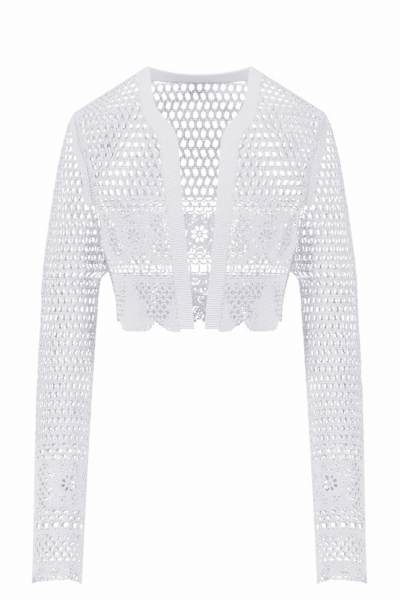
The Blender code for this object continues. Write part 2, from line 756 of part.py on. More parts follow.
def main():
    for item in list(bpy.data.objects):
        bpy.data.objects.remove(item, do_unlink=True)
    group = bpy.data.collections.new(OBJECT)
    bpy.context.scene.collection.children.link(group)
    make_back()
    make_fronts()
    make_sleeves()
    make_band()
    for part in group.objects:
        part.data.calc_loop_triangles()
        print(f"{part.name}: {len(part.data.loop_triangles)} triangles")


main()
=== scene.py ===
# %% [markdown]
# # A crochet cropped cardigan, stitch by stitch
#
# The cardigan is white cotton yarn worked with a hook: an open net of posts and chains, a band of
# flowers and diamonds above a scalloped hem, long sleeves that end in the same lace, and a fine
# rib band round the open front. It hangs as it is worn, with nobody in it.
#
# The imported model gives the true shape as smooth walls. This lesson lays real stitches on that
# shape. First come the frame and the size that everything has to keep to.

# %% Load the frame
import math

import bpy
import numpy as np
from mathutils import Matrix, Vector


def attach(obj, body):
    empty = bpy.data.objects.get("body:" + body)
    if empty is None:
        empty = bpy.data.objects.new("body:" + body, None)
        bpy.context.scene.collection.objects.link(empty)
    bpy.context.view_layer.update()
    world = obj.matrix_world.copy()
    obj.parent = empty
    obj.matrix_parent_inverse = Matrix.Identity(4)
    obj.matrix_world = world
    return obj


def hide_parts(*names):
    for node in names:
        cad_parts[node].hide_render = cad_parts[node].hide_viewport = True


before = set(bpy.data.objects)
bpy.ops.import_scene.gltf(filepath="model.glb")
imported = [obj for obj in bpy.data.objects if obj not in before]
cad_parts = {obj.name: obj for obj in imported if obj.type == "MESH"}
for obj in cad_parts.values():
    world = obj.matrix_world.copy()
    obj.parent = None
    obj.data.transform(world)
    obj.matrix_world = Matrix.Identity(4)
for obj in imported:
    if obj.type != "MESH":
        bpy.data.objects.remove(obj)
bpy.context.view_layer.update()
MM = 0.001
rng = np.random.default_rng(11)
print("pieces of the frame:", sorted(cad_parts))

# %% [markdown]
# ## The form
#
# A garment maker thinks in flat pieces. A place on a piece is (across, up), in millimetres: across
# is measured along the cloth from the middle of the piece, and up is the height, or above the
# chest line the way up the cloth. The tables hold level sections of the body and the sleeve, read
# from a smooth curve, and the functions turn a flat place into a point of the worn form.

# %% Sizes of the form
CHEST, UNDERARM, SHOULDER_TIP, NECK_TOP = -75.0, -263.3, -59.4, 2.7
HEM_FRONT, HEM_BACK, CUFF = -351.0, -354.0, -693.0
NECK_X, NECK_SEAM_X, TIP_X = 69.5, 87.0, 168.0
SHOULDER_SLOPE = (NECK_TOP - SHOULDER_TIP) / (TIP_X - NECK_X)
ROUNDNESS = 2.3
TORSO = dict(
    z=(2.7, -6, -15, -30, -45, -59.4, -75, -105, -135, -161, -193, -220, -245, -263.3, -286, -313,
       -360),
    half_width=(69.5, 83.3, 97.6, 121.4, 145.2, 168, 172.5, 176, 176, 172, 160, 146, 134, 127,
                119.5, 113.5, 111),
    front=(30, 40, 48, 57, 64, 70, 75, 86, 95, 101, 104, 104, 102, 100, 97, 95, 92),
    back=(54, 66, 77, 84, 89, 93, 96, 100, 102, 103, 101, 99, 97, 95, 93, 91, 89),
)
ARMHOLE = dict(
    z=(-59.4, -77.5, -105.8, -135, -161.6, -193.5, -220, -245, -263.3),
    x=(168, 162.6, 156.6, 146.1, 141.5, 136.2, 132.4, 129.3, 127),
)
SLEEVE_ROUND = -200.0
SLEEVE = dict(
    z=(-59.4, -66, -77, -97, -124, -165, -200, -220, -245, -263.3, -286, -340, -407, -516, -583,
       -651, -700),
    outer_x=(168, 172.5, 177.5, 183, 189.5, 196.5, 202, 204.7, 208.2, 210.5, 212.5, 215, 218.8,
             221.5, 222.5, 223.7, 225.5),
    half_width=(0, 0, 0, 0, 0, 0, 0, 0, 0, 41.75, 39.8, 38.5, 38.2, 36.3, 35, 33.9, 33.7),
    depth=(0, 0, 0, 0, 0, 0, 56.5, 53, 50, 48, 46.5, 44.5, 42, 38, 35, 33, 32),
    forward=(0, 0, 0, 0, 0, 0, 0, 0, 0, 0, 0.5, 2, 5, 10, 14, 17, 19),
)
CAP_TURN, CAP_EASE = math.radians(60), 1.2
# points along a section of half the body and of half the sleeve
BODY_SAMPLES, SLEEVE_SAMPLES = 181, 121


def eased(t, size, start, end, leave, arrive):
    """The value at share t of a step, on a curve that has these slopes at its two ends."""
    return ((2 * t**3 - 3 * t**2 + 1) * start + (t**3 - 2 * t**2 + t) * size * leave
            + (3 * t**2 - 2 * t**3) * end + (t**3 - t**2) * size * arrive)


def smooth(table, name, z):
    """A column's value at height z, on a smooth curve through the table's rows."""
    heights, values = np.array(table["z"], float)[::-1], np.array(table[name], float)[::-1]
    slopes = np.gradient(values, heights)
    at = np.clip(np.asarray(z, float), heights[0], heights[-1])
    i = np.clip(np.searchsorted(heights, at) - 1, 0, len(heights) - 2)
    step = heights[i + 1] - heights[i]
    t = (at - heights[i]) / step
    return eased(t, step, values[i], values[i + 1], slopes[i], slopes[i + 1])


def unit(vectors):
    return vectors / np.linalg.norm(vectors, axis=-1, keepdims=True)


def running(*axes):
    """The way along a polyline up to each of its points."""
    steps = np.sqrt(sum(np.diff(a) ** 2 for a in axes))
    return np.concatenate([[0], np.cumsum(steps)])


print("the form's length in mm:", round(NECK_TOP - CUFF))

# %% Points of the torso
def half_width(z):
    line = NECK_X + (NECK_TOP - np.asarray(z, float)) / SHOULDER_SLOPE
    return np.where(np.asarray(z) > SHOULDER_TIP, line, smooth(TORSO, "half_width", z))


def torso_y(side, x, z):
    share = np.clip(1 - (np.abs(x) / half_width(z)) ** ROUNDNESS, 0, 1)
    return smooth(TORSO, side, z) * np.sqrt(share)


def torso_section(side, z):
    """Half a level section, as x and the way along it."""
    turn = np.linspace(0, math.pi / 2, BODY_SAMPLES)
    x = half_width(z) * np.sin(turn) ** (2 / ROUNDNESS)
    y = smooth(TORSO, side, z) * np.cos(turn)
    return x, y, running(x, y)


FULL = {side: torso_section(side, UNDERARM)[2][-1] for side in ("front", "back")}


def rise(side, x):
    """Heights from the chest up to the form's top at x, and the way up the cloth to each."""
    top = NECK_TOP - max(0.0, x - NECK_X) * SHOULDER_SLOPE
    z = top - (top - CHEST) * (1 - np.linspace(0, 1, BODY_SAMPLES)) ** 2
    y = torso_y(side, x, z)
    if x > NECK_X:
        y[-1] = 0
    return z, y, running(z, y)


def torso_normal(side, x, y, z):
    """The outward direction of the torso form at points of its +X half."""
    nudge, n = 0.25, ROUNDNESS
    w, d = half_width(z), smooth(TORSO, side, z)
    dw = (half_width(z + nudge) - half_width(z - nudge)) / (2 * nudge)
    dd = (smooth(TORSO, side, z + nudge) - smooth(TORSO, side, z - nudge)) / (2 * nudge)
    normal = np.stack([n * x ** (n - 1) / w**n, (-1 if side == "front" else 1) * 2 * y / d**2,
                       -2 * y**2 * dd / d**3 - n * x**n * dw / w ** (n + 1)], axis=-1)
    return unit(normal)


def flat_of(side, x, z):
    """The flat place of the torso point at x and z; z None is on the shoulder line."""
    level = CHEST if z is None or z > CHEST else z
    xs, _, way = torso_section(side, level)
    across = np.interp(x, xs, way) / way[-1] * FULL[side]
    if z is not None and z <= CHEST:
        return np.array((across, z))
    heights, _, up = rise(side, x)
    return np.array((across, CHEST + (up[-1] if z is None else np.interp(z, heights, up))))


print("half widths of the flat body in mm:", {k: round(v) for k, v in FULL.items()})

# %% Points of the sleeve
def cap_reach(side, z):
    """How far round the sleeve the armhole seam lies at z, and the sleeve's depth there."""
    reach = float(torso_y(side, smooth(ARMHOLE, "x", z), z))
    if z <= SLEEVE_ROUND:
        deep = float(smooth(SLEEVE, "depth", z))
        return math.pi - math.asin(min(1, reach / deep)), deep
    low = cap_reach(side, SLEEVE_ROUND)[0]
    share = (SHOULDER_TIP - z) / (SHOULDER_TIP - SLEEVE_ROUND)
    turn = CAP_TURN + (low - CAP_TURN) * max(share, 0) ** CAP_EASE
    return turn, reach / math.sin(turn)


def sleeve_section(side, z):
    """The sleeve's section at z: outer x, half width, depth, shift and how far round it goes."""
    outer, shift = float(smooth(SLEEVE, "outer_x", z)), float(smooth(SLEEVE, "forward", z))
    if z <= UNDERARM:
        wide, deep = (float(smooth(SLEEVE, name, z)) for name in ("half_width", "depth"))
        return outer, wide, deep, shift, math.pi
    turn, deep = cap_reach(side, z)
    wide = (outer - float(smooth(ARMHOLE, "x", z))) / (1 - math.cos(turn))
    return outer, wide, deep, shift, turn


def sleeve_points(side, turn, z):
    outer, wide, deep, shift, _ = sleeve_section(side, z)
    sign = -1 if side == "front" else 1
    return np.stack([outer - wide * (1 - np.cos(turn)), sign * deep * np.sin(turn) - shift,
                     np.full(np.shape(turn), z)], axis=-1)


def sleeve_ways(side, z):
    """Turns round half the sleeve at z, and the way along the cloth to each."""
    turns = np.linspace(0, sleeve_section(side, z)[4], SLEEVE_SAMPLES)
    points = sleeve_points(side, turns, z)
    return turns, running(points[:, 0], points[:, 1])


SLEEVE_FULL = sleeve_ways("front", UNDERARM)[1][-1]
HALF_ACROSS = {**FULL, "sleeve": SLEEVE_FULL}
print("half width of the flat sleeve in mm:", round(SLEEVE_FULL))

# %% [markdown]
# ## Laying the flat pieces on the form
#
# A stitch needs a point and an outward direction many thousands of times, so each half of the form
# is worked out once on a coarse grid, and a stitch reads its place between the grid's points.
# Ninety-nine places in a hundred lie within 0.3 mm of the true curve. The worst one, in the corner
# under the arm where the section changes, is 1.4 mm off.

# %% A form that can be read anywhere
class Form:
    """A grid of points and outward directions over flat places, read between its points."""

    def __init__(self, across, up, points, normals):
        self.across, self.up, self.points, self.normals = across, up, points, normals

    def read(self, values, a, u):
        i, j = (np.clip((at - line[0]) / (line[1] - line[0]), 0, len(line) - 1.001)
                for at, line in ((a, self.across), (u, self.up)))
        i0, j0 = i.astype(int), j.astype(int)
        s, t = (i - i0)[:, None], (j - j0)[:, None]
        return ((values[i0, j0] * (1 - s) + values[i0 + 1, j0] * s) * (1 - t)
                + (values[i0, j0 + 1] * (1 - s) + values[i0 + 1, j0 + 1] * s) * t)

    def place(self, flat):
        """Points and outward directions at flat places, mirrored for places across the middle."""
        flat = np.atleast_2d(np.asarray(flat, float))
        a, u = flat[:, 0] if self.across[0] < 0 else np.abs(flat[:, 0]), flat[:, 1]
        flip = np.where((flat[:, 0] < 0) & (self.across[0] >= 0), -1.0, 1.0)
        points, normals = self.read(self.points, a, u), self.read(self.normals, a, u)
        points[:, 0] *= flip
        normals[:, 0] *= flip
        return points, unit(normals)


print("a form is read between its grid's points")

# %% Grids of the forms
FLAT_LOW, FLAT_HIGH, SLEEVE_LOW = -362, 62, -706
BODY_GRID, SLEEVE_GRID = (73, 121), (121, 162)


def torso_form(side):
    across = np.linspace(0, FULL[side], BODY_GRID[0])
    up = np.linspace(FLAT_LOW, FLAT_HIGH, BODY_GRID[1])
    points = np.zeros((len(across), len(up), 3))
    for j, z in enumerate(up[up <= CHEST]):
        xs, ys, way = torso_section(side, z)
        s = across / FULL[side] * way[-1]
        points[:, j, 0], points[:, j, 1] = np.interp(s, way, xs), np.interp(s, way, ys)
        points[:, j, 2] = z
    high = np.flatnonzero(up > CHEST)
    xs, _, way = torso_section(side, CHEST)
    for i, x in enumerate(np.interp(across / FULL[side] * way[-1], way, xs)):
        heights, depths, ways = rise(side, x)
        z, y = (np.interp(up[high] - CHEST, ways, v) for v in (heights, depths))
        points[i, high] = np.stack([np.full(len(high), x), y, z], axis=1)
    normals = torso_normal(side, *(points[..., k] for k in range(3)))
    if side == "front":
        points[..., 1] *= -1
    return Form(across, up, points, normals)


def sleeve_form():
    across = np.linspace(-SLEEVE_FULL, SLEEVE_FULL, SLEEVE_GRID[0])
    up = np.linspace(SLEEVE_LOW, SHOULDER_TIP, SLEEVE_GRID[1])
    points, normals = np.zeros((2, len(across), len(up), 3))
    small, nudge = 0.01, 1.0
    for j, z in enumerate(up):
        for side, half in (("back", across < 0), ("front", across >= 0)):
            turns, way = sleeve_ways(side, z)
            s = np.abs(across[half]) * (way[-1] / SLEEVE_FULL if z < UNDERARM else 1)
            turn = np.interp(s, way, turns)
            points[half, j] = sleeve_points(side, turn, z)
            low = min(z, SHOULDER_TIP - 2 * nudge)
            inner = np.clip(turn, 2 * small, math.pi - 2 * small)
            along = (sleeve_points(side, turn, low - nudge)
                     - sleeve_points(side, turn, low + nudge))
            around = (sleeve_points(side, inner + small, low)
                      - sleeve_points(side, inner - small, low))
            normal = np.cross(around, along)
            normal[inner != turn, 1] = 0
            sign = -1 if side == "front" else 1
            outward = np.stack([np.cos(turn), sign * np.sin(turn), np.zeros(len(turn))], axis=1)
            normal *= np.sign((normal * outward).sum(1, keepdims=True))
            normals[half, j] = unit(normal)
    return Form(across, up, points, normals)


FORMS = {"front": torso_form("front"), "back": torso_form("back"), "sleeve": sleeve_form()}


def stretch(form, z):
    """How much wider the flat piece is than the cloth at height z."""
    if form == "sleeve":
        true = sleeve_ways("front", min(z, UNDERARM))[1][-1]
    else:
        true = torso_section(form, min(z, CHEST))[2][-1]
    return HALF_ACROSS[form] / true


print("grid points:", {k: f.points.shape[:2] for k, f in FORMS.items()})

# %% [markdown]
# ## Edges of the pieces
#
# The pieces meet at the shoulder, the armhole, the side and the front band. Their outlines are the
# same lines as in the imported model, so that two neighbours meet along one seam.

# %% Edges of the band
BAND_FRONT = (
    (6.6, -348, 25.8, -348), (12.5, -286, 32.2, -286), (19.8, -212, 40, -213),
    (23.8, -160, 45, -161), (26.2, -126, 49.2, -130), (28.6, -98, 51.8, -101), (32, -85, 56, -92),
    (41.5, -72.5, 65, -81), (52.4, -64, 72, -73), (60.2, -47.5, 76.5, -56), (63.4, -34, 78.8, -40),
    (66, -10, 82, -19), (NECK_X, None, NECK_SEAM_X, None),
)
BAND_BACK = (
    (NECK_X, None, NECK_SEAM_X, None), (66, 1.4, 80, -11.2), (55, -0.6, 64, -13),
    (38, -3.2, 44, -14.2), (19, -4.7, 22, -14.9), (0, -5.2, 0, -15.2),
)
BAND_STEP, OUTLINE_STEP = 15.0, 6.0


def spaced(points, step):
    """The polyline again on a smooth curve through its points, with points about step apart."""
    points = np.array(points, float)
    way = running(*points.T)
    slopes = np.gradient(points, way, axis=0)
    at = np.linspace(0, way[-1], max(2, round(way[-1] / step) + 1))
    i = np.clip(np.searchsorted(way, at) - 1, 0, len(way) - 2)
    size = (way[i + 1] - way[i])[:, None]
    t = (at - way[i])[:, None] / size
    return eased(t, size, points[i], points[i + 1], slopes[i], slopes[i + 1])


def band_edges(side, step):
    """The band's free and seam edges on the flat body."""
    rows = BAND_FRONT if side == "front" else BAND_BACK
    free = spaced([flat_of(side, r[0], r[1]) for r in rows], step)
    seam = spaced([flat_of(side, r[2], r[3]) for r in rows], step)
    share = np.linspace(0, 1, len(seam))
    way = running(*free.T)
    return np.stack([np.interp(share, way / way[-1], free[:, k]) for k in (0, 1)], axis=1), seam


print("rows of the band's edges:", len(BAND_FRONT), "in front and", len(BAND_BACK), "behind")

# %% Hems and outlines
SCALLOP_REPEAT, SCALLOP_VALLEY = {"front": 90.0, "back": 74.0}, {"front": 62.6, "back": 0.0}
SCALLOP_DEPTH, VALLEY_WIDTH = {"front": 16.0, "back": 11.0}, 10.6
CUFF_REPEAT, CUFF_SCALLOP_AT, CUFF_SCALLOP_DEPTH = 94.1, 109.0, 12.0
CUFF_RISE, CUFF_RISE_END = 10.0, 142.0
HEM_POINTS, CUFF_POINTS, SIDE_POINTS, ARMHOLE_POINTS, SHOULDER_POINTS = 60, 110, 12, 40, 16


def valley(across, middle, repeat, depth):
    """How far a scalloped edge rises near its valleys, one of which lies at middle."""
    off = (across - middle + repeat / 2) % repeat - repeat / 2
    return depth * np.exp(-(off / VALLEY_WIDTH) ** 2)


def hem(side, across):
    """The scalloped hem's height at a place across the flat body."""
    full, low = FULL[side], HEM_FRONT if side == "front" else HEM_BACK
    at, repeat, across = SCALLOP_VALLEY[side], SCALLOP_REPEAT[side], np.abs(across)
    base = low + ((HEM_FRONT + HEM_BACK) / 2 - low) * (across / full) ** 2
    # the photo's hem stays up from the last valley to the side seam
    across = np.minimum(across, at + (full - at) // repeat * repeat)
    return base + valley(across, at, repeat, SCALLOP_DEPTH[side])


def towards_front(across):
    """How far to the sleeve's front a place lies, from 0 behind to 1 in front."""
    return np.maximum(0, np.sin(math.pi * np.clip(across / CUFF_RISE_END, 0, 1)))


def cuff_hem(across):
    return (CUFF + CUFF_RISE * towards_front(across)
            + valley(across, CUFF_SCALLOP_AT, CUFF_REPEAT, CUFF_SCALLOP_DEPTH))


def shoulder_line(side):
    return np.array([flat_of(side, x, None)
                     for x in np.linspace(TIP_X, NECK_SEAM_X, SHOULDER_POINTS)])


def torso_outline(side):
    """The flat outline of one front, or of the whole back, anticlockwise from the hem."""
    seam, full = band_edges(side, OUTLINE_STEP)[1], FULL[side]
    start = seam[0][0] if side == "front" else 0.0
    bottom = [(a, hem(side, a)) for a in np.linspace(start, full, HEM_POINTS)]
    side_seam = [(full, z) for z in np.linspace(bottom[-1][1], UNDERARM, SIDE_POINTS)[1:]]
    heights = np.linspace(UNDERARM, SHOULDER_TIP, ARMHOLE_POINTS)[1:-1]
    armhole = [flat_of(side, float(smooth(ARMHOLE, "x", z)), z) for z in heights]
    shoulder = list(shoulder_line(side))
    neck = list(seam[::-1])[1:] if side == "front" else list(seam)[1:]
    half = np.array(bottom + side_seam + armhole + shoulder + neck)
    if side == "front":
        return half
    return np.concatenate([half, (half[:0:-1] * (-1, 1))[1:]])


def sleeve_outline():
    heights = np.linspace(UNDERARM, SHOULDER_TIP, ARMHOLE_POINTS)
    front = [(sleeve_ways("front", z)[1][-1], z) for z in heights]
    back = [(-sleeve_ways("back", z)[1][-1], z) for z in heights[::-1]]
    bottom = [(a, cuff_hem(a)) for a in np.linspace(-SLEEVE_FULL, SLEEVE_FULL, CUFF_POINTS)]
    return np.array(bottom + front + back)


OUTLINES = {"front": torso_outline("front"), "back": torso_outline("back"),
            "sleeve": sleeve_outline()}
print("outline points:", {k: len(v) for k, v in OUTLINES.items()})

# %% How far a stitch lies from an edge
def line_gap(points, line):
    """How far each flat place lies from a polyline."""
    best = np.full(len(points), 1e9)
    for p, q in zip(line, line[1:]):
        d = q - p
        if d.any():
            t = np.clip((points - p) @ d / (d @ d), 0, 1)
            best = np.minimum(best, np.linalg.norm(points - p - t[:, None] * d, axis=1))
    return best


def edge_gap(points, outline):
    """How far inside a flat outline each point lies; outside it is negative."""
    odd, (x, y) = np.zeros(len(points), bool), points.T
    for p, q in zip(outline, np.roll(outline, -1, axis=0)):
        if q[1] != p[1]:
            crosses = (p[1] > y) != (q[1] > y)
            odd ^= crosses & (x < p[0] + (y - p[1]) * (q - p)[0] / (q - p)[1])
    best = line_gap(points, np.vstack([outline, outline[:1]]))
    return np.where(odd, best, -best)


room = edge_gap(np.array([(0, CHEST)]), OUTLINES["back"])[0]
print("the back's middle lies", round(float(room)), "mm from its nearest edge")

# %% [markdown]
# ## The stitches themselves
#
# Three small shapes of yarn make the whole cardigan. A chain or slip stitch shows as a V of two
# strands. A tall treble is two strands wound round each other. A close double crochet is a short
# fat bead of yarn. Each is built once, one unit wide, long and thick, from tubes with few sides,
# because it is repeated thousands of times. Its UV map runs round and along the strand, so the
# twist of the yarn's plies can follow it.

# %% Yarn strands
def strand(path, radius, sides, rings):
    """A tapered tube along a path of (x, y, z); it gives points, faces and each face's UVs."""
    share = (np.arange(rings) + 0.5) / rings
    along = np.linspace(0, 1, len(path))
    middle = np.stack([np.interp(share, along, np.array(path)[:, k]) for k in range(3)], axis=1)
    turn = 2 * math.pi * np.arange(sides) / sides
    points = [path[0]]
    for centre in middle:
        points += [centre + (radius * math.cos(t), 0, radius * math.sin(t)) for t in turn]
    points.append(path[-1])
    faces, uvs, last = [], [], len(points) - 1
    for s in range(sides):
        u, v = s / sides, (s + 1) / sides
        a, b = 1 + s, 1 + (s + 1) % sides
        faces.append((0, b, a))
        uvs.append(((u, 0), (v, share[0]), (u, share[0])))
        for r in range(rings - 1):
            faces.append((a, b, b + sides, a + sides))
            uvs.append(((u, share[r]), (v, share[r]), (v, share[r + 1]), (u, share[r + 1])))
            a, b = a + sides, b + sides
        faces.append((a, b, last))
        uvs.append(((u, share[-1]), (v, share[-1]), (u, 1)))
    return points, faces, uvs


def stitch_shape(name, strands):
    """One stitch as a mesh, of one or more strands."""
    points, faces, uvs = [], [], []
    for more, more_faces, more_uvs in strands:
        faces += [tuple(i + len(points) for i in f) for f in more_faces]
        points += [tuple(p) for p in more]
        uvs += more_uvs
    mesh = bpy.data.meshes.new(name)
    mesh.from_pydata(points, [], faces)
    layer = mesh.uv_layers.new(name="yarn")
    layer.data.foreach_set("uv", [c for face in uvs for uv in face for c in uv])
    volume = sum(f.center.dot(f.normal) * f.area for f in mesh.polygons)
    if volume < 0:
        mesh.flip_normals()
    mesh.shade_smooth()
    return bpy.data.objects.new(name, mesh)


faces = strand([(0, 0, 0), (0, 1, 0)], 0.5, 5, 2)[1]
print("a strand of 5 sides and 2 rings has", len(faces), "faces")

# %% Three shapes of stitch
LINK, POST, BEAD = 0, 1, 2
SHAPES = bpy.data.collections.new("stitch_shapes")
half_turn = [math.pi * k / 4 for k in range(5)]
# each strand's path runs along Y, and its radius, sides and rings follow
link = [strand([(s * 0.12, -0.55, -0.3), (s * 0.3, 0, 0.15), (s * 0.2, 0.55, 0.1)], 0.23, 4, 2)
        for s in (-1, 1)]
post = [strand([(s * 0.2 * math.cos(t), k / 4 - 0.5, s * 0.2 * math.sin(t))
                for k, t in enumerate(half_turn)], 0.33, 4, 3) for s in (-1, 1)]
bead = [strand([(0, -0.5, 0), (0, 0, 0), (0, 0.5, 0)], 0.5, 5, 2)]
# the tree picks a shape by its place in the alphabet, so the names start in the order above
for name, strands in (("a_link", link), ("b_post", post), ("c_bead", bead)):
    SHAPES.objects.link(stitch_shape(name, strands))

# %% [markdown]
# ## Materials
#
# Undyed cotton yarn is bright, matt and a little fuzzy: light sinks into the loose fibres and comes
# out soft, which a sheen layer gives at the edges. Its plies lie at a slant, about 2.5 mm apart,
# and show as fine grooves. The photo's white leans slightly to cool lilac.

# %% Colour and node helpers
def linear(code):
    """An sRGB hex colour as linear RGBA."""
    parts = [int(code[i:i + 2], 16) / 255 for i in (1, 3, 5)]
    return (*(c / 12.92 if c <= 0.04045 else ((c + 0.055) / 1.055) ** 2.4 for c in parts), 1.0)


def add(tree, kind, links=(), **settings):
    """Add a node: settings name its properties or inputs, links its inputs and their sources.

    A source is an output, or a node for its first output.
    """
    node = tree.nodes.new(kind)
    for key, value in settings.items():
        if hasattr(node, key):
            setattr(node, key, value)
        else:
            node.inputs[key.replace("_", " ")].default_value = value
    for socket, source in links:
        output = source if isinstance(source, bpy.types.NodeSocket) else source.outputs[0]
        tree.links.new(output, node.inputs[socket])
    return node


print("white paper's colour as linear RGBA:", linear("#ffffff"))

# %% Cotton yarn
# uneven spinning, fibres and the grooves' depth, in metres
PATCH_WIDE, FIBRE_WIDE, GROOVE_DEEP = 25 * MM, 0.4 * MM, 0.2 * MM


def cotton_yarn(name, light, shade, ply_count, groove):
    """Soft white cotton: matt and fuzzy, its plies grooved along the strand."""
    material = bpy.data.materials.new(name)
    material.use_nodes = True
    tree = material.node_tree
    tree.nodes.clear()
    place = add(tree, "ShaderNodeTexCoord").outputs
    # patches of uneven spinning, barely darker than the rest
    patches = add(tree, "ShaderNodeTexNoise", [("Vector", place["Object"])],
                  Scale=1 / PATCH_WIDE, Detail=3.0)
    colour = add(tree, "ShaderNodeValToRGB", [("Fac", patches.outputs["Fac"])])
    for stop, position, code in zip(colour.color_ramp.elements, (0.3, 0.7), (shade, light)):
        stop.position, stop.color = position, linear(code)
    # plies: slanting grooves round each strand
    parts = add(tree, "ShaderNodeSeparateXYZ", [(0, place["UV"])]).outputs
    slant = add(tree, "ShaderNodeMath", [(0, parts["Y"]), (1, parts["X"])], operation="ADD")
    wave = add(tree, "ShaderNodeMath", [(0, slant)], operation="MULTIPLY")
    wave.inputs[1].default_value = 2 * math.pi * ply_count
    ridges = add(tree, "ShaderNodeMath", [(0, wave)], operation="SINE")
    # loose fibres
    fuzz = add(tree, "ShaderNodeTexNoise", [("Vector", place["Object"])],
               Scale=1 / FIBRE_WIDE, Detail=2.0)
    height = add(tree, "ShaderNodeMath", [(0, ridges), (1, fuzz.outputs["Fac"])],
                 operation="ADD")
    bump = add(tree, "ShaderNodeBump", [("Height", height)],
               Strength=groove, Distance=GROOVE_DEEP)
    shader = add(tree, "ShaderNodeBsdfPrincipled",
                 [("Base Color", colour.outputs["Color"]), ("Normal", bump.outputs["Normal"])],
                 Roughness=0.88, IOR=1.5, Sheen_Weight=0.25, Sheen_Roughness=0.5,
                 Specular_IOR_Level=0.25)
    add(tree, "ShaderNodeOutputMaterial", [("Surface", shader.outputs["BSDF"])])
    return material


LACE = cotton_yarn("crocheted_white_cotton", "#d7d3e7", "#cbc7dc", 2, 0.5)
RIB = cotton_yarn("fine_ribbed_white_cotton", "#dcd8ec", "#d4d0e4", 2, 0.35)
print("materials:", LACE.name, RIB.name)

# %% [markdown]
# ## One tree that sews every stitch
#
# Geometry Nodes suit stitches, because one rule repeats over many points. Each point of a bare mesh
# stands for a stitch and carries where it runs, where it faces, how big it is and which shape it
# has. The tree puts the shape there, turned a few degrees by chance as handwork is, and makes it
# real mesh, because an export drops instances.

# %% The stitching tree
def stitching_tree():
    tree = bpy.data.node_groups.new("sew_stitches", "GeometryNodeTree")
    face = tree.interface
    face.new_socket("Geometry", in_out="INPUT", socket_type="NodeSocketGeometry")
    for name, kind in (("Shapes", "NodeSocketCollection"), ("Yarn", "NodeSocketMaterial"),
                       ("Wander", "NodeSocketFloat"), ("Seed", "NodeSocketInt")):
        face.new_socket(name, in_out="INPUT", socket_type=kind)
    face.new_socket("Geometry", in_out="OUTPUT", socket_type="NodeSocketGeometry")
    given = add(tree, "NodeGroupInput").outputs
    read = {}
    for name, kind in (("along", "FLOAT_VECTOR"), ("out", "FLOAT_VECTOR"),
                       ("size", "FLOAT_VECTOR"), ("kind", "INT")):
        read[name] = add(tree, "GeometryNodeInputNamedAttribute", data_type=kind, Name=name)
    turned = add(tree, "FunctionNodeAxesToRotation",
                 [("Primary Axis", read["out"]), ("Secondary Axis", read["along"])],
                 primary_axis="Z", secondary_axis="Y")
    less = add(tree, "ShaderNodeMath", [(0, given["Wander"])], operation="MULTIPLY")
    less.inputs[1].default_value = -1.0
    chance = add(tree, "FunctionNodeRandomValue",
                 [("Min", less), ("Max", given["Wander"]), ("Seed", given["Seed"])],
                 data_type="FLOAT_VECTOR")
    nudge = add(tree, "FunctionNodeEulerToRotation", [(0, chance)])
    rotation = add(tree, "FunctionNodeRotateRotation",
                   [(0, turned), (1, nudge)], rotation_space="LOCAL")
    shapes = add(tree, "GeometryNodeCollectionInfo", [("Collection", given["Shapes"])],
                 Separate_Children=True, Reset_Children=True)
    laid = add(tree, "GeometryNodeInstanceOnPoints",
               [("Points", given["Geometry"]), ("Instance", shapes),
                ("Instance Index", read["kind"]), ("Rotation", rotation),
                ("Scale", read["size"])], Pick_Instance=True)
    real = add(tree, "GeometryNodeRealizeInstances", [("Geometry", laid)])
    dyed = add(tree, "GeometryNodeSetMaterial",
               [("Geometry", real), ("Material", given["Yarn"])])
    add(tree, "NodeGroupOutput", [("Geometry", dyed)])
    return tree


TREE = stitching_tree()
WANDER = math.radians(5)
print("the stitching tree has", len(TREE.nodes), "nodes")

# %% Sewing one piece
def put(name, data):
    """A new object in the scene, at the origin."""
    made = bpy.data.objects.new(name, data)
    bpy.context.scene.collection.objects.link(made)
    return made


def sew(name, stitches, yarn, seed):
    """One piece of cloth as plain mesh, from stitches as (places, along, out, size, kind)."""
    places, along, out, size, kind = stitches
    mesh = bpy.data.meshes.new(name + "_points")
    mesh.from_pydata([tuple(p) for p in places * MM], [], [])
    for label, values in (("along", along), ("out", out), ("size", size * MM)):
        layer = mesh.attributes.new(label, "FLOAT_VECTOR", "POINT")
        layer.data.foreach_set("vector", values.ravel())
    layer = mesh.attributes.new("kind", "INT", "POINT")
    layer.data.foreach_set("value", kind.astype(int))
    holder = put(name + "_points", mesh)
    modifier = holder.modifiers.new("sew", "NODES")
    modifier.node_group = TREE
    values = {"Shapes": SHAPES, "Yarn": yarn, "Wander": WANDER, "Seed": seed}
    for item in TREE.interface.items_tree:
        if item.in_out == "INPUT" and item.name in values:
            modifier[item.identifier] = values[item.name]
    bpy.context.view_layer.update()
    graph = bpy.context.evaluated_depsgraph_get()
    sewn = bpy.data.meshes.new_from_object(holder.evaluated_get(graph))
    bpy.data.objects.remove(holder, do_unlink=True)
    for label in ("along", "out", "size", "kind"):
        if label in sewn.attributes:
            sewn.attributes.remove(sewn.attributes[label])
    sewn.name = name
    return put(name, sewn)


print("a stitch wanders by up to", round(math.degrees(WANDER)), "degrees")

# %% [markdown]
# ## Stitches on flat cloth
#
# A run of stitches is a table of flat places with the way each stitch runs, in true millimetres.
# The form turns it into points in space. Sizes and places vary by a few per cent.

# %% Stretch and folds of the cloth
STRETCH_AT = np.linspace(SLEEVE_LOW, FLAT_HIGH, 129)
STRETCH = {form: (STRETCH_AT, np.array([stretch(form, z) for z in STRETCH_AT])) for form in FORMS}
# how far under the form's surface a stitch's middle lies, and how unevenly it is placed and sized
CENTRE_IN, UNEVEN_PLACE, UNEVEN_SIZE = 0.7, 0.12, 0.07
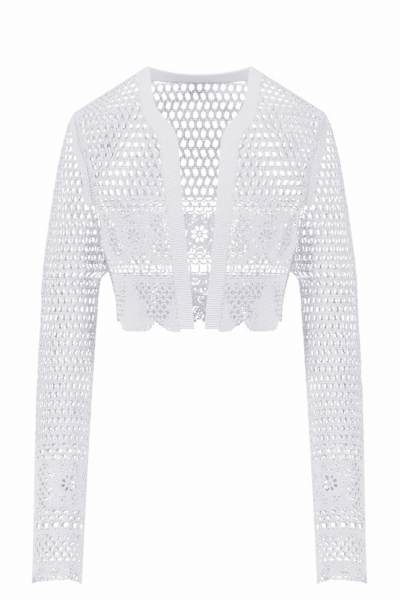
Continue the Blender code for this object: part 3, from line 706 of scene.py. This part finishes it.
# soft folds: across, up, the direction in degrees from level, half length, half width and depth
TROUGHS = {
    "front": ((118, -225, 62, 42, 9, 3.0), (96, -120, 38, 40, 10, 2.5), (84, -322, 84, 28, 8, 1.8),
              (128, -318, 96, 26, 7, 1.6)),
    "back": ((0, -300, 90, 45, 12, 2.0), (-92, -215, 118, 50, 11, 2.5),
             (92, -215, 62, 50, 11, 2.5)),
    "sleeve": ((96, -232, -32, 34, 8, 3.0), (60, -300, 18, 45, 9, 2.5),
               (84, -392, -20, 45, 9, 2.5), (40, -408, 14, 40, 8, 2.0), (76, -470, 12, 40, 9, 1.8),
               (-70, -330, -15, 50, 10, 3.0), (-60, -420, 12, 50, 10, 2.5)),
}


def widen(form, up):
    return np.interp(up, *STRETCH[form])


def trough(form, flat):
    """How far the soft folds sink into the form at flat places, in mm."""
    deep = np.zeros(len(flat))
    for across, up, lean, length, width, depth in TROUGHS[form]:
        x, y = flat[:, 0] - across, flat[:, 1] - up
        c, s = math.cos(math.radians(lean)), math.sin(math.radians(lean))
        deep += depth * np.exp(-((x * c + y * s) / length) ** 2 - ((y * c - x * s) / width) ** 2)
    return deep


print("stretch of the flat back at the chest:", round(float(widen("back", CHEST)), 2))

# %% Runs of stitches
def run(places, ways, kind, size):
    """A run of stitches as one table: across, up, way across, way up, kind and three sizes."""
    places, ways = np.atleast_2d(places), np.atleast_2d(ways)
    if not len(places) or not places.size:
        return np.zeros((0, 8))
    return np.hstack([places, np.broadcast_to(ways, places.shape), np.full((len(places), 1), kind),
                      np.broadcast_to(np.atleast_2d(size), (len(places), 3))])


def onto(form, table, mirror=False):
    """Lay a table of stitches on the form, for sew."""
    flat, way, place = table[:, :2], unit(table[:, 2:4]), FORMS[form].place
    way[:, 0] *= widen(form, flat[:, 1])
    points, out = place(flat)
    along = place(flat + way)[0] - place(flat - way)[0]
    deep = trough(form, flat)
    points = points - out * deep[:, None]
    for step in ((1, 0), (0, 1)):
        tangent = place(flat + step)[0] - place(flat)[0]
        slope = trough(form, flat + step) - deep
        out = out + tangent * (slope / np.maximum((tangent ** 2).sum(axis=1), 0.1))[:, None]
    out = unit(out)
    places = points - out * CENTRE_IN + rng.normal(0, UNEVEN_PLACE, points.shape)
    size = table[:, 5:8] * (1 + rng.uniform(-UNEVEN_SIZE, UNEVEN_SIZE, (len(table), 1)))
    if mirror:
        for values in (places, along, out):
            values[:, 0] *= -1
    return places, along, out, size, table[:, 4]


def walk(form, line, step, closed=False):
    """Places at even steps along a flat line as it lies on the form, and the way it runs."""
    line = np.array(line, float)
    if closed:
        line = np.vstack([line, line[:1]])
    dense = np.vstack([np.linspace(p, q, 9)[:-1] for p, q in zip(line, line[1:])] + [line[-1:]])
    way = running(*FORMS[form].place(dense)[0].T)
    count = max(1, round(way[-1] / step))
    at = (np.arange(count) + 0.5) * way[-1] / count
    places, after, before = (
        np.stack([np.interp(at + ahead, way, dense[:, k]) for k in (0, 1)], axis=1)
        for ahead in (0, 0.5, -0.5))
    ways = after - before
    ways[:, 0] /= widen(form, places[:, 1])
    return places, ways


def left_of(ways):
    """The directions a quarter turn left, which point into an anticlockwise outline."""
    return np.stack([-ways[:, 1], ways[:, 0]], axis=1)


def inward(ways):
    return unit(left_of(ways))


CORD_STEP, CORD_IN, CORD_SIZE = 3.7, 1.0, (3.4, 4.4, 2.6)
count = len(walk("back", OUTLINES["back"], CORD_STEP, closed=True)[0])
print("stitches along the back's outline:", count)

# %% [markdown]
# ## The open net
#
# Body and sleeves are an open net: columns of tall trebles stand on rows of chain, and each row's
# trebles stand half a step beside those below. The photo shows the columns leaning a little, one
# row to the left and another to the right.

# %% Net of posts and chains
NET = dict(
    front=dict(bottom=-174.0, top=66.0, row=12.4, pitch=8.0, post=5.4),
    back=dict(bottom=-173.2, top=66.0, row=13.3, pitch=8.85, post=6.3),
    sleeve=dict(bottom=-499.0, top=SHOULDER_TIP, row=11.3, pitch=SLEEVE_FULL / 14, post=4.7),
)
LEAN = (0.04, 0.24, -0.2, 0.1, -0.25, 0.16, 0.0, -0.14)
# a post's height as a share of its row, its thickness, and the room that it needs
POST_TALL, POST_THICK, POST_ROOM = 0.86, 2.4, 2.5
# a chain's width and thickness, its length as a share of its step, and the room that it needs
CHAIN_WIDE, CHAIN_THICK, CHAIN_LONG, CHAIN_ROOM = 5.2, 2.8, 1.22, 1.5
LACE_TOP = {"front": -173.0, "back": -172.0, "sleeve": -499.0}
DROOP, DROOP_FROM, DROOP_RISE = 0.3, (60.0, -60.0), 50.0
ARCH_DEEP, ARCH_TOP, ARCH_HALF, ARCH_FADE = 8.0, 85.0, 62.0, (-188.0, -160.0)


def dip(form, across, up):
    """How much lower rows lie: arched on the front's net, and down at the sleeve's back."""
    if form == "front":
        droop = DROOP * np.maximum(0, across - DROOP_FROM[0])
        droop = droop * np.clip((up - DROOP_FROM[1]) / DROOP_RISE, 0, 1)
        arch = ARCH_DEEP * ((across - ARCH_TOP) / ARCH_HALF) ** 2
        return droop + arch * np.clip((up - ARCH_FADE[0]) / (ARCH_FADE[1] - ARCH_FADE[0]), 0, 1)
    if form == "back":
        return 0 * across
    low = np.clip((UNDERARM - up) / (UNDERARM - LACE_TOP["sleeve"]), 0, 1)
    return CUFF_RISE * (1 - towards_front(across)) * low


def net_rows(form):
    """Each row's number and the height of its chains."""
    cut = NET[form]
    count = int((cut["top"] - cut["bottom"]) / cut["row"]) + 1
    return [(k, cut["bottom"] + k * cut["row"]) for k in range(count)]


def net(form, clear):
    """The net's posts and chains, where clear says that a flat place has room for them."""
    pitch, row, runs = NET[form]["pitch"], NET[form]["row"], []
    reach = int(max(np.abs(OUTLINES[form][:, 0])) / pitch) + 1
    steps, halves = np.arange(-reach, reach + 1), np.arange(-2 * reach, 2 * reach + 1)
    post_size = (NET[form]["post"], row * POST_TALL, POST_THICK)
    for k, low in net_rows(form):
        across = (steps + 0.5 * (k % 2)) * pitch
        posts = np.stack([across, np.full(len(steps), low + row / 2)], 1)
        posts[:, 1] -= dip(form, *posts.T)
        posts = posts[clear(posts, POST_ROOM)]
        runs.append(run(posts, (LEAN[k % len(LEAN)], 1), POST, post_size))
        bend = 0.5 * np.where(halves % 2 == k % 2, 1, -1)
        links = np.stack([(halves + 0.5) * pitch / 2, low + 0 * bend], axis=1)
        wide = pitch / 2 / widen(form, low)
        ways = np.stack([np.full(len(links), wide), bend], axis=1)
        links[:, 1] -= dip(form, *links.T)
        room = clear(links, CHAIN_ROOM)
        size = (CHAIN_WIDE, wide * CHAIN_LONG, CHAIN_THICK)
        runs.append(run(links[room], ways[room], LINK, size))
    return np.vstack(runs)


print("rows of net:", {form: len(net_rows(form)) for form in NET})

# %% [markdown]
# ## Holes make the lace
#
# Lace is drawn by its holes. Each hole has a place, a true width and height, a roundness (2 is an
# oval, 1.4 a diamond, 4 a square) and a turn. The flowers' gaps and the largest rows lie at about
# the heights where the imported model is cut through: the rows are up to 2.3 mm off, on the sleeve's
# back up to 10 mm, and the back's two upper rows are half a repeat out of step. Beads of yarn are
# then laid round every hole, and more beads fill the cloth between.

# %% Rows of holes
OVAL, DIAMOND, SQUARE = 2.0, 1.4, 4.0
# full rows: height, pitch, width, height and roundness of a hole, and the row's phase
ROWS = {
    "front": ((-178.5, 10.4, 6.6, 4.4, OVAL, 0.5), (-186.7, 10.4, 6.6, 4.6, OVAL, 0),
              (-266.4, 8.5, 4.8, 4.2, OVAL, 0.5), (-275.0, 10.4, 6.8, 8.4, SQUARE, 0.5)),
    "back": ((-176.4, 12.6, 8.2, 4.4, OVAL, 0), (-184.3, 12.6, 8.6, 4.2, OVAL, 0.5),
             (-191.6, 12.6, 9.2, 3.6, OVAL, 0), (-256.7, 11.5, 7.0, 4.0, OVAL, 0),
             (-264.0, 11.5, 7.0, 3.8, OVAL, 0.5), (-273.4, 12.0, 8.8, 9.0, SQUARE, 0.5)),
    "sleeve": ((-503.8, 14.1, 7.2, 4.2, OVAL, 0.5), (-511.0, 14.1, 8.4, 5.2, OVAL, 0),
               (-518.6, 14.1, 7.6, 4.6, OVAL, 0.5), (-592.0, 14.1, 7.4, 4.0, OVAL, 0.5),
               (-599.6, 14.1, 7.6, 4.4, OVAL, 0), (-609.5, 14.1, 8.8, 6.8, SQUARE, 0.5),
               *((up, 11.0, 5.6, 6.0, DIAMOND, k % 2 / 2)
                 for k, up in enumerate((-628.0, -635.5, -642.7, -649.7, -656.5))),
               (-669.0, 22.0, 6.6, 2.6, OVAL, 0.25), (-678.5, 22.0, 6.0, 2.4, OVAL, 0.25)),
}


def row_of_holes(form, up, pitch, wide, tall, roundness, phase):
    """A full row of equal holes; sizes are true millimetres."""
    step = pitch * widen(form, up)
    count = int(HALF_ACROSS[form] / step) + 1
    return [((k + phase) * step, up, wide, tall, roundness, 0.0) for k in range(-count, count + 1)]


print("holes in the back's row of squares:", len(row_of_holes("back", *ROWS["back"][-1])))

# %% Flowers and diamonds
FLOWER_REPEAT, FLOWER_HEIGHT = 69.2, -225.6
CUFF_FLOWER_AT, CUFF_FLOWER_HEIGHT = 87.5, -555.0
PETALS, PETAL_AT = 8, {"front": 7.0, "back": 8.4, "sleeve": 8.2}
PETAL_SIZE = {"front": (5.2, 2.7), "back": (6.8, 4.5), "sleeve": (6.4, 3.8)}
# small holes round a flower: across and up from its middle, width and height
ROUND_FLOWER = {
    "front": (*((x, 32, 5, 3.6) for x in (-16, -8, 0, 8)), (4, 25.5, 4.4, 3), (0, 18.5, 2.4, 4),
              (-9, -28.5, 4.6, 3.6), (9, -28.5, 4.6, 3.6),
              *((x, -34, 4.6, 4) for x in (-12.6, -4.2, 4.2, 12.6))),
    "back": ((-7, 25, 2.8, 5), (7.5, 25, 2.8, 5), (-7, -23.5, 3, 4.6), (7.5, -23.5, 3, 4.6)),
    "sleeve": ((-10, 23.5, 2.6, 4.2), (10, 23.5, 2.6, 4.2), (-9, -22.5, 2.6, 3.2),
               (10, -22.5, 2.6, 3.2)),
}
# two diamonds stand one above the other, in rows of one, two or three holes
DIAMOND_HOLE, DIAMOND_STEP, DIAMOND_PITCH = (5.2, 5.8), 6.5, 10.4
DIAMOND_ROWS = [(DIAMOND_STEP * k, 3 - abs(abs(k) - 2)) for k in range(4, -5, -1)]


def hole_at(form, centre, place, size, roundness, turn=0.0):
    """One hole at a true distance from a centre on the flat cloth."""
    up = centre[1] + place[1]
    return (centre[0] + place[0] * widen(form, up), up, *size, roundness, turn)


def flower_holes(form, centre):
    """The gaps between a flower's petals, a ring of ovals, and the small holes round them."""
    found = []
    for k in range(PETALS):
        turn = 2 * math.pi * (k + 0.5) / PETALS
        place = (PETAL_AT[form] * math.cos(turn), PETAL_AT[form] * math.sin(turn))
        found.append(hole_at(form, centre, place, PETAL_SIZE[form], OVAL, turn))
    return found + [hole_at(form, centre, h[:2], h[2:], OVAL) for h in ROUND_FLOWER[form]]


def diamond_holes(form, centre):
    return [hole_at(form, centre, ((k - (count - 1) / 2) * DIAMOND_PITCH, y), DIAMOND_HOLE, DIAMOND)
            for y, count in DIAMOND_ROWS for k in range(count)]


def flower_centres(form):
    """Flower middles in every repeat, kept where they can reach the piece."""
    if form == "sleeve":
        return [(CUFF_FLOWER_AT + k * CUFF_REPEAT, CUFF_FLOWER_HEIGHT) for k in range(-3, 2)]
    start = 0 if form == "back" else (FULL["front"] + FULL["back"]) % FLOWER_REPEAT
    middles = [start + k * FLOWER_REPEAT for k in range(-4, 5)]
    return [(m, FLOWER_HEIGHT) for m in middles if abs(m) < FULL[form] + 20]


print("flowers tried:", {form: len(flower_centres(form)) for form in FORMS})

# %% Every hole of a piece
# half widths of a funnel's rows, its top, and the steps down and across
FUNNEL, FUNNEL_TOP, FUNNEL_ROW, FUNNEL_PITCH = (36, 33, 28, 24, 19, 19, 14), -294.4, 6.4, 9.8
# small slits of the back, as across, up, width and height
BACK_VALLEY = ((-6, -291, 4.4, 0.8), (6, -293, 1.6, 1.4), (-2, -304, 1.6, 1.4),
               (8, -305.5, 1.4, 1.4), (2, -316, 0.8, 2.4), (-4.5, -330, 3.0, 1.2),
               (1, -338, 1.6, 1.4))


def valley_holes(form):
    """Holes above each valley of the hem: a funnel of diamonds in front, a few slits behind."""
    found = []
    for middle in SCALLOP_VALLEY[form] + np.arange(-2, 3) * SCALLOP_REPEAT[form]:
        if form == "back":
            found += [(middle + h[0], *h[1:], OVAL, 0.0) for h in BACK_VALLEY]
            continue
        for k, half in enumerate(FUNNEL):
            xs = (np.arange(-5, 6) + 0.5 * (k % 2)) * FUNNEL_PITCH
            top, down = (middle, FUNNEL_TOP), -FUNNEL_ROW * k
            found += [hole_at(form, top, (x, down), DIAMOND_HOLE, DIAMOND)
                      for x in xs if abs(x) <= half]
    return found


def all_holes(form):
    """Every hole of one piece's lace, its rows dipping as the net's do."""
    holes = [h for row in ROWS[form] for h in row_of_holes(form, *row)]
    between = (CUFF_REPEAT if form == "sleeve" else FLOWER_REPEAT) / 2
    for across, up in flower_centres(form):
        holes += flower_holes(form, (across, up)) + diamond_holes(form, (across + between, up))
    if form != "sleeve":
        holes += valley_holes(form)
    return [(h[0], h[1] - float(dip(form, h[0], h[1])), *h[2:]) for h in holes]


HOLES = {form: all_holes(form) for form in OUTLINES}
print("holes drawn:", {k: len(v) for k, v in HOLES.items()})

# %% [markdown]
# ## Filling the lace with beads
#
# The beads are tried in the order of what the eye sees first: the petals of the flowers, the rims
# of the holes, and last the plain cloth in level rows. A bead is left out if another already lies
# there or if it would stop a hole. A cord and small picots then follow the edges.

# %% Beads round the holes
BEAD_SIZE, RIM_BEAD = (3.8, 4.8, 2.1), (3.2, 4.0, 2.4)
# how far out of a hole its rim runs, the beads' step, and how far they keep apart and off a hole
RIM_OUT, RIM_STEP, RIM_APART, RIM_CLEAR, AHEAD = 1.4, 2.9, 2.0, 1.0, 0.6


def open_places(form, places, holes, grow):
    """Which flat places keep clear of every hole when it is grown all round."""
    clear = np.ones(len(places), bool)
    for a, u, wide, tall, roundness, turn in holes:
        x, y = (places[:, 0] - a) / widen(form, u), places[:, 1] - u
        c, s = math.cos(turn), math.sin(turn)
        clear &= (np.abs((x * c + y * s) / (wide / 2 + grow)) ** roundness
                  + np.abs((y * c - x * s) / (tall / 2 + grow)) ** roundness) > 1
    return clear


def rim(form, hole):
    """Places and ways of the beads round one hole."""
    a, u, wide, tall, roundness, turn = hole
    t = np.linspace(0, 2 * math.pi, 73)
    x, y = ((size / 2 + RIM_OUT) * np.sign(v) * np.abs(v) ** (2 / roundness)
            for size, v in ((wide, np.cos(t)), (tall, np.sin(t))))
    way = running(x, y)
    count = max(4, round(way[-1] / RIM_STEP))
    at = (np.arange(count) + 0.5) * way[-1] / count
    px, py = np.interp(at, way, x), np.interp(at, way, y)
    qx, qy = (np.interp((at + AHEAD) % way[-1], way, v) - p for v, p in ((x, px), (y, py)))
    c, s = math.cos(turn), math.sin(turn)
    places = np.stack([a + (px * c - py * s) * widen(form, u), u + px * s + py * c], axis=1)
    return places, np.stack([qx * c - qy * s, qx * s + qy * c], axis=1)


print("beads round the back's first hole:", len(rim("back", HOLES["back"][0])[0]))

# %% Petals of the flowers
SPOKE_MIN, SPOKE_LONG, SPOKE_THICK, SPOKE_CLEAR, SPOKE_REACH = 2.4, 4.2, 2.5, 0.4, 0.42
HUB_AT, HUB_BEADS, HUB_LONG = 1.5, 5, 3.0
CLOSING_OUT, CLOSING_STEP = (1.7, 4.7), 3.3


def flower_beads(form, centre):
    """The hub, the spokes between the petals' gaps and two closing rounds, as runs to be tried."""
    at, (long, wide) = PETAL_AT[form], PETAL_SIZE[form]
    rounds = [(HUB_AT, HUB_BEADS, True, (SPOKE_MIN, HUB_LONG, SPOKE_THICK))]
    for radius in (at - SPOKE_REACH * long, at, at + SPOKE_REACH * long):
        gap = wide * math.sqrt(1 - ((radius - at) / (long / 2)) ** 2)
        spoke = max(SPOKE_MIN, 2 * math.pi * radius / PETALS - gap)
        rounds.append((radius, PETALS, True, (spoke, SPOKE_LONG, SPOKE_THICK)))
    for more in CLOSING_OUT:
        radius = at + long / 2 + more
        rounds.append((radius, round(2 * math.pi * radius / CLOSING_STEP), False, BEAD_SIZE))
    found = []
    for radius, count, outward, size in rounds:
        turn = 2 * math.pi * np.arange(count) / count
        c, s = np.cos(turn), np.sin(turn)
        across = centre[0] + radius * c * widen(form, centre[1])
        places = np.stack([across, centre[1] + radius * s], 1)
        places[:, 1] -= dip(form, *places.T)
        found.append((places, np.stack((c, s) if outward else (-s, c), axis=1), RIM_APART,
                      SPOKE_CLEAR if outward else RIM_CLEAR, size))
    return found


print("rounds of beads in a flower:", len(flower_beads("back", flower_centres("back")[0])))

# %% Filling the lace
FILL_ROW, FILL_STEP, FILL_APART, FILL_CLEAR = 2.8, 3.4, 2.2, 1.8
# how far inside the piece a hole's middle and a bead have to lie, and the cells for finding beads
HOLE_ROOM, BEAD_ROOM, CELL = 1.0, 2.6, 3.0


def tries_of(form, holes):
    """Runs of beads in the order in which they are tried, each with its distances and size."""
    tries = [t for centre in flower_centres(form) for t in flower_beads(form, centre)]
    tries += [(*rim(form, hole), RIM_APART, RIM_CLEAR, RIM_BEAD) for hole in holes]
    low, high = OUTLINES[form].min(axis=0), OUTLINES[form].max(axis=0)
    for k, up in enumerate(np.arange(low[1] + 1, LACE_TOP[form], FILL_ROW)):
        step = FILL_STEP * widen(form, up)
        across = np.arange(low[0] + (k % 2) * step / 2, high[0], step)
        places = np.stack([across, np.full(len(across), up)], 1)
        ways = np.tile((1.0, 0.0), (len(across), 1))
        tries.append((places, ways, FILL_APART, FILL_CLEAR, BEAD_SIZE))
    return tries


def lace(form, room):
    """All the beads of one piece's lace; room says how far inside the piece a place lies."""
    holes = [h for h in HOLES[form] if room(np.array([h[:2]]))[0] > HOLE_ROOM]
    taken, kept = {}, []
    for places, ways, apart, keep, size in tries_of(form, holes):
        good = (room(places) > BEAD_ROOM) & (places[:, 1] < LACE_TOP[form] - dip(form, *places.T))
        good &= open_places(form, places, holes, keep)
        places, ways = places[good], ways[good]
        if not len(places):
            continue
        for flat, way, point in zip(places, ways, FORMS[form].place(places)[0]):
            cell = tuple((point // CELL).astype(int))
            near = [q for step in np.ndindex(3, 3, 3)
                    for q in taken.get(tuple(c + d - 1 for c, d in zip(cell, step)), ())]
            if all(((point - q) ** 2).sum() >= apart**2 for q in near):
                taken.setdefault(cell, []).append(point)
                kept.append(run(flat, way, BEAD, size))
    return np.vstack(kept)


print("runs of beads tried on the back:", len(tries_of("back", HOLES["back"])))

# %% Cords and picots along the edges
PICOT_STEP, PICOT_SIZE, HEM_TALL = 6.0, (2.8, 3.8, 2.2), 30


def edge_runs(form, outline):
    """A cord of slip stitches along every edge, and picots along the scallops."""
    places, ways = walk(form, outline, CORD_STEP, closed=True)
    true = np.stack([widen(form, places[:, 1]), np.ones(len(places))], axis=1)
    runs = [run(places + inward(ways) * CORD_IN * true, ways, LINK, CORD_SIZE)]
    low = CUFF if form == "sleeve" else HEM_FRONT
    hem_line = outline[outline[:, 1] < low + HEM_TALL]
    places, ways = walk(form, hem_line[np.argsort(hem_line[:, 0])], PICOT_STEP)
    runs.append(run(places, left_of(ways), BEAD, PICOT_SIZE))
    return np.vstack(runs)


print("stitches along the back's edges:", len(edge_runs("back", OUTLINES["back"])))

# %% [markdown]
# ## The pieces of lace
#
# Each panel is one piece of cloth: its net, its lace and its edges are sewn together. The sleeve's
# net stops short of the armhole, where the photo shows a dense smooth strip about 12 mm wide. The
# right side is the left one mirrored in its points, so no mesh is turned inside out.

# %% Stitches of a panel
STRIP_WIDE = {"front": 14.0, "back": 14.0, "sleeve": 12.0}
STRIP_INSETS = {"front": (3.6, 6.6, 9.6, 12.4), "back": (3.6, 6.6, 9.6, 12.4),
                "sleeve": (4.6, 7.5, 10.4)}
STRIP_FROM, STRIP_STEP, STRIP_SLACK, STRIP_ROOM = -190.0, 3.5, 1.5, 3.0


def strip_lines(form):
    """The seams a dense strip follows: the armhole on the sleeve, the shoulder on the body."""
    if form == "sleeve":
        return [OUTLINES[form][OUTLINES[form][:, 1] > STRIP_FROM]]
    line = shoulder_line(form)
    return [line] if form == "front" else [line, line[::-1] * (-1, 1)]


def panel_stitches(form):
    outline, lines = OUTLINES[form], strip_lines(form)

    def inside(places):
        return edge_gap(places, outline)

    def clear(places, margin):
        beside = np.min([line_gap(places, line) for line in lines], axis=0)
        return (inside(places) > margin) & (beside > STRIP_WIDE[form])

    runs = [net(form, clear), lace(form, inside), edge_runs(form, outline)]
    for line in lines:
        places, ways = walk(form, line, STRIP_STEP)
        for inset in STRIP_INSETS[form]:
            moved = places + inward(ways) * inset
            # a bead that comes too near another edge is left out
            good = inside(moved) > min(inset - STRIP_SLACK, STRIP_ROOM)
            runs.append(run(moved, ways, BEAD, BEAD_SIZE)[good])
    return np.vstack(runs)


def flat_size(form):
    """The panel's true width, length and area in metres, laid flat."""
    outline = OUTLINES[form] * MM
    outline = np.vstack([np.linspace(p, q, 6)[:-1]
                         for p, q in zip(outline, np.roll(outline, -1, axis=0))])
    x, y = outline[:, 0] / widen(form, outline[:, 1] / MM), outline[:, 1]
    area = abs((x * np.roll(y, -1) - y * np.roll(x, -1)).sum()) / 2
    return (float(np.ptp(x)), float(np.ptp(y))), float(area)


def triangles(piece):
    piece.data.calc_loop_triangles()
    return len(piece.data.loop_triangles)


tables = {form: panel_stitches(form) for form in OUTLINES}
print("stitches:", {form: len(table) for form, table in tables.items()})

# %% Sewing the panels
PANELS = (
    ("lace_back", "back", False, ("back_middle", "back_left", "back_right"), 1),
    ("lace_front_left", "front", False, ("front_left",), 2),
    ("lace_front_right", "front", True, ("front_right",), 3),
    ("lace_sleeve_left", "sleeve", False, ("sleeve_left_front", "sleeve_left_back"), 4),
    ("lace_sleeve_right", "sleeve", True, ("sleeve_right_front", "sleeve_right_back"), 5),
)
for name, form, mirror, nodes, seed in PANELS:
    piece = sew(name, onto(form, tables[form], mirror), LACE, seed)
    size, area = flat_size(form)
    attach(piece, "root")
    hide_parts(*nodes)
    print(name, "triangles", triangles(piece), "flat size", [round(s, 3) for s in size],
          "area", round(area, 4))

# %% [markdown]
# ## The rib band
#
# The band is fine rib, worked across its width, about 3 mm from rib to rib, and each rib is a
# column of small V stitches. One closed wall carries both as relief: a layer of separate stitches
# on a ribbed wall would count the cloth twice.

# %% Rings and relief of the band
BAND_WALL, BAND_PROUD, RIB_PITCH, RIB_HEIGHT = 2.8, 0.7, 3.0, 1.4
RIB_SAMPLES, RIB_STITCHES, STITCH_SAMPLES, V_HEIGHT = 6, 7, 3, 0.25
SEAM_GAP = 0.3


def band_rings():
    """Points and outward directions of the band's two edges, round from one hem to the other."""
    rings = []
    for side in ("front", "back"):
        free, seam = band_edges(side, BAND_STEP)
        wide = np.linalg.norm(seam - free, axis=1)
        end = free + (seam - free) * (1 - SEAM_GAP / 2 / wide)[:, None]
        edges = [np.stack(FORMS[side].place(line), 1) for line in (free, end)]
        # front and back share the ring at the neck's side, so the back leaves its own out
        rings += list(np.stack(edges, axis=1))[side == "back":]
    mirrored = [r * np.array((-1, 1, 1)) for r in rings]
    return np.array(mirrored + rings[-2::-1])


def band_relief(rings):
    """The band's outer and inner points in rows and columns, its ribs and its length."""
    way = running(*rings[:, :, 0].mean(axis=1).T)
    ribs = round(way[-1] / RIB_PITCH)
    at = np.linspace(0, way[-1], ribs * RIB_SAMPLES + 1)
    flat = rings.reshape(len(rings), -1)
    fine = np.stack([np.interp(at, way, column) for column in flat.T], 1).reshape(-1, 2, 2, 3)
    share = np.linspace(0, 1, RIB_STITCHES * STITCH_SAMPLES + 1)[None, :, None]
    place, out = (fine[:, 0, k][:, None] * (1 - share) + fine[:, 1, k][:, None] * share
                  for k in (0, 1))
    out = unit(out)
    phase = 2 * math.pi * np.arange(len(at)) / RIB_SAMPLES
    rib = BAND_PROUD - RIB_HEIGHT * (0.5 + 0.5 * np.cos(phase))
    slant = 2 * np.abs(np.sin(phase / 2 + math.pi / 2))[:, None]
    stitch = 2 * math.pi * share[..., 0] * RIB_STITCHES - slant
    height = rib[:, None] + V_HEIGHT * np.cos(stitch)
    return place + out * height[..., None], place - out * (BAND_WALL - BAND_PROUD), ribs, way[-1]


outer, inner, ribs, band_length = band_relief(band_rings())
print("the band is", round(band_length), "mm long and has", ribs, "ribs")

# %% The band's wall
def band_faces(n, m):
    """Faces of a closed wall: n rows of m outer points come first, and the inner ones next."""
    index, faces = np.arange(n * m).reshape(n, m), []
    for grid, turned in ((index, False), (index + n * m, True)):
        quads = np.stack([grid[:-1, :-1], grid[1:, :-1], grid[1:, 1:], grid[:-1, 1:]], axis=-1)
        faces += [tuple(q[::-1] if turned else q) for q in quads.reshape(-1, 4).tolist()]
    edges = ((index[:, 0], True), (index[:, -1], False), (index[0], False), (index[-1], True))
    for edge, turned in edges:
        for a, b in zip(edge[:-1].tolist(), edge[1:].tolist()):
            quad = (a, b, b + n * m, a + n * m)
            faces.append(quad[::-1] if turned else quad)
    return faces


def band():
    n, m = outer.shape[:2]
    points = np.concatenate([outer.reshape(-1, 3), inner.reshape(-1, 3)]) * MM
    mesh = bpy.data.meshes.new("rib_band")
    mesh.from_pydata([tuple(p) for p in points], [], band_faces(n, m))
    layer = mesh.uv_layers.new(name="yarn")
    across = np.repeat(np.linspace(0, 1, n)[:, None], m, 1).ravel() * ribs
    along = np.tile(np.linspace(0, RIB_STITCHES, m), n)
    uv = np.stack([np.tile(across, 2), np.tile(along, 2)], axis=1)
    corners = np.zeros(len(mesh.loops), int)
    mesh.loops.foreach_get("vertex_index", corners)
    layer.data.foreach_set("uv", uv[corners].ravel())
    mesh.shade_smooth()
    mesh.materials.append(RIB)
    return put("rib_band", mesh)


wall = band()
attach(wall, "root")
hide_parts("neck_band")
print("rib_band triangles", triangles(wall))

# %% [markdown]
# ## Studio
#
# The photo is a shop picture: pure white behind, and a soft even light in front that leaves the
# inside of the garment in shade. Two softboxes stand in front to the left and right, so that light
# falls on the fronts and little of it goes straight in through the opening; the small pale floor
# sends a little back from below. A lit paper hangs far behind, only as big as the view needs, so it
# turns white without lighting the cloth from behind. The camera looks level at the garment from
# 3.5 m with a long lens, as the photo's even proportions suggest.

# %% Paper and floor
FLOOR, FLOOR_HALF = -1.05, 1.0
PAPER_AT, PAPER_HALF, PAPER_LOW, PAPER_HIGH, PAPER_GLOW = 12.0, 1.3, -2.75, 1.15, 14.0


def plain(name, code, glow=0.0):
    """Matt white paper; glow is how strongly it is lit through."""
    material = bpy.data.materials.new(name)
    material.use_nodes = True
    inputs = material.node_tree.nodes["Principled BSDF"].inputs
    for key, value in (("Base Color", linear(code)), ("Roughness", 0.9),
                       ("Emission Color", linear(code)), ("Emission Strength", glow)):
        inputs[key].default_value = value
    return material


def sheet_of_paper(name, corners, material):
    mesh = bpy.data.meshes.new(name)
    mesh.from_pydata(corners, [], [(0, 1, 2, 3)])
    mesh.materials.append(material)
    put(name, mesh)


sheet_of_paper("studio_floor", [(x * FLOOR_HALF, y * FLOOR_HALF, FLOOR)
                                for x, y in ((-1, -1), (1, -1), (1, 1), (-1, 1))],
               plain("pale_floor", "#e9e9e9"))
sheet_of_paper("lit_paper", [(-PAPER_HALF, PAPER_AT, PAPER_LOW), (PAPER_HALF, PAPER_AT, PAPER_LOW),
                             (PAPER_HALF, PAPER_AT, PAPER_HIGH),
                             (-PAPER_HALF, PAPER_AT, PAPER_HIGH)],
               plain("lit_white_paper", "#ffffff", PAPER_GLOW))
print("the lit paper stands", PAPER_AT, "m behind")

# %% Lights
MIDDLE, SOFTBOX_SIZE, AIR_GLOW = (0, 0, -0.33), 0.8, 0.08


def soft_light(name, place, power):
    """A square softbox that faces the garment's middle."""
    data = bpy.data.lights.new(name, "AREA")
    data.shape, data.size, data.size_y = "RECTANGLE", SOFTBOX_SIZE, SOFTBOX_SIZE
    data.energy = power
    lamp = put(name, data)
    lamp.location = place
    lamp.rotation_euler = (Vector(MIDDLE) - Vector(place)).to_track_quat("-Z", "Y").to_euler()


soft_light("left_softbox", (-3.0, -1.8, 1.2), 780)
soft_light("right_softbox", (3.1, -1.7, 0.9), 620)
world = bpy.data.worlds.new("studio_air")
bpy.context.scene.world = world
world.use_nodes = True
air = world.node_tree.nodes["Background"].inputs
air["Color"].default_value, air["Strength"].default_value = linear("#f0eeff"), AIR_GLOW
print("lamps:", len(bpy.data.lights))

# %% Camera
EYE, FRAME_TALL, FRAME_MIDDLE, SENSOR = (0.0007, -3.5, -0.170), 0.81, -0.3132, 36.0
view = bpy.data.cameras.new("eye")
view.sensor_fit, view.sensor_height = "VERTICAL", SENSOR
view.lens = SENSOR * -EYE[1] / FRAME_TALL
view.shift_y = (FRAME_MIDDLE - EYE[2]) / FRAME_TALL
camera = put("eye", view)
camera.location, camera.rotation_euler = EYE, (math.pi / 2, 0, 0)
bpy.context.scene.camera = camera
print("lens in mm:", round(view.lens, 1), "shift:", round(view.shift_y, 4))

# %% Finish
print("the scene is built")
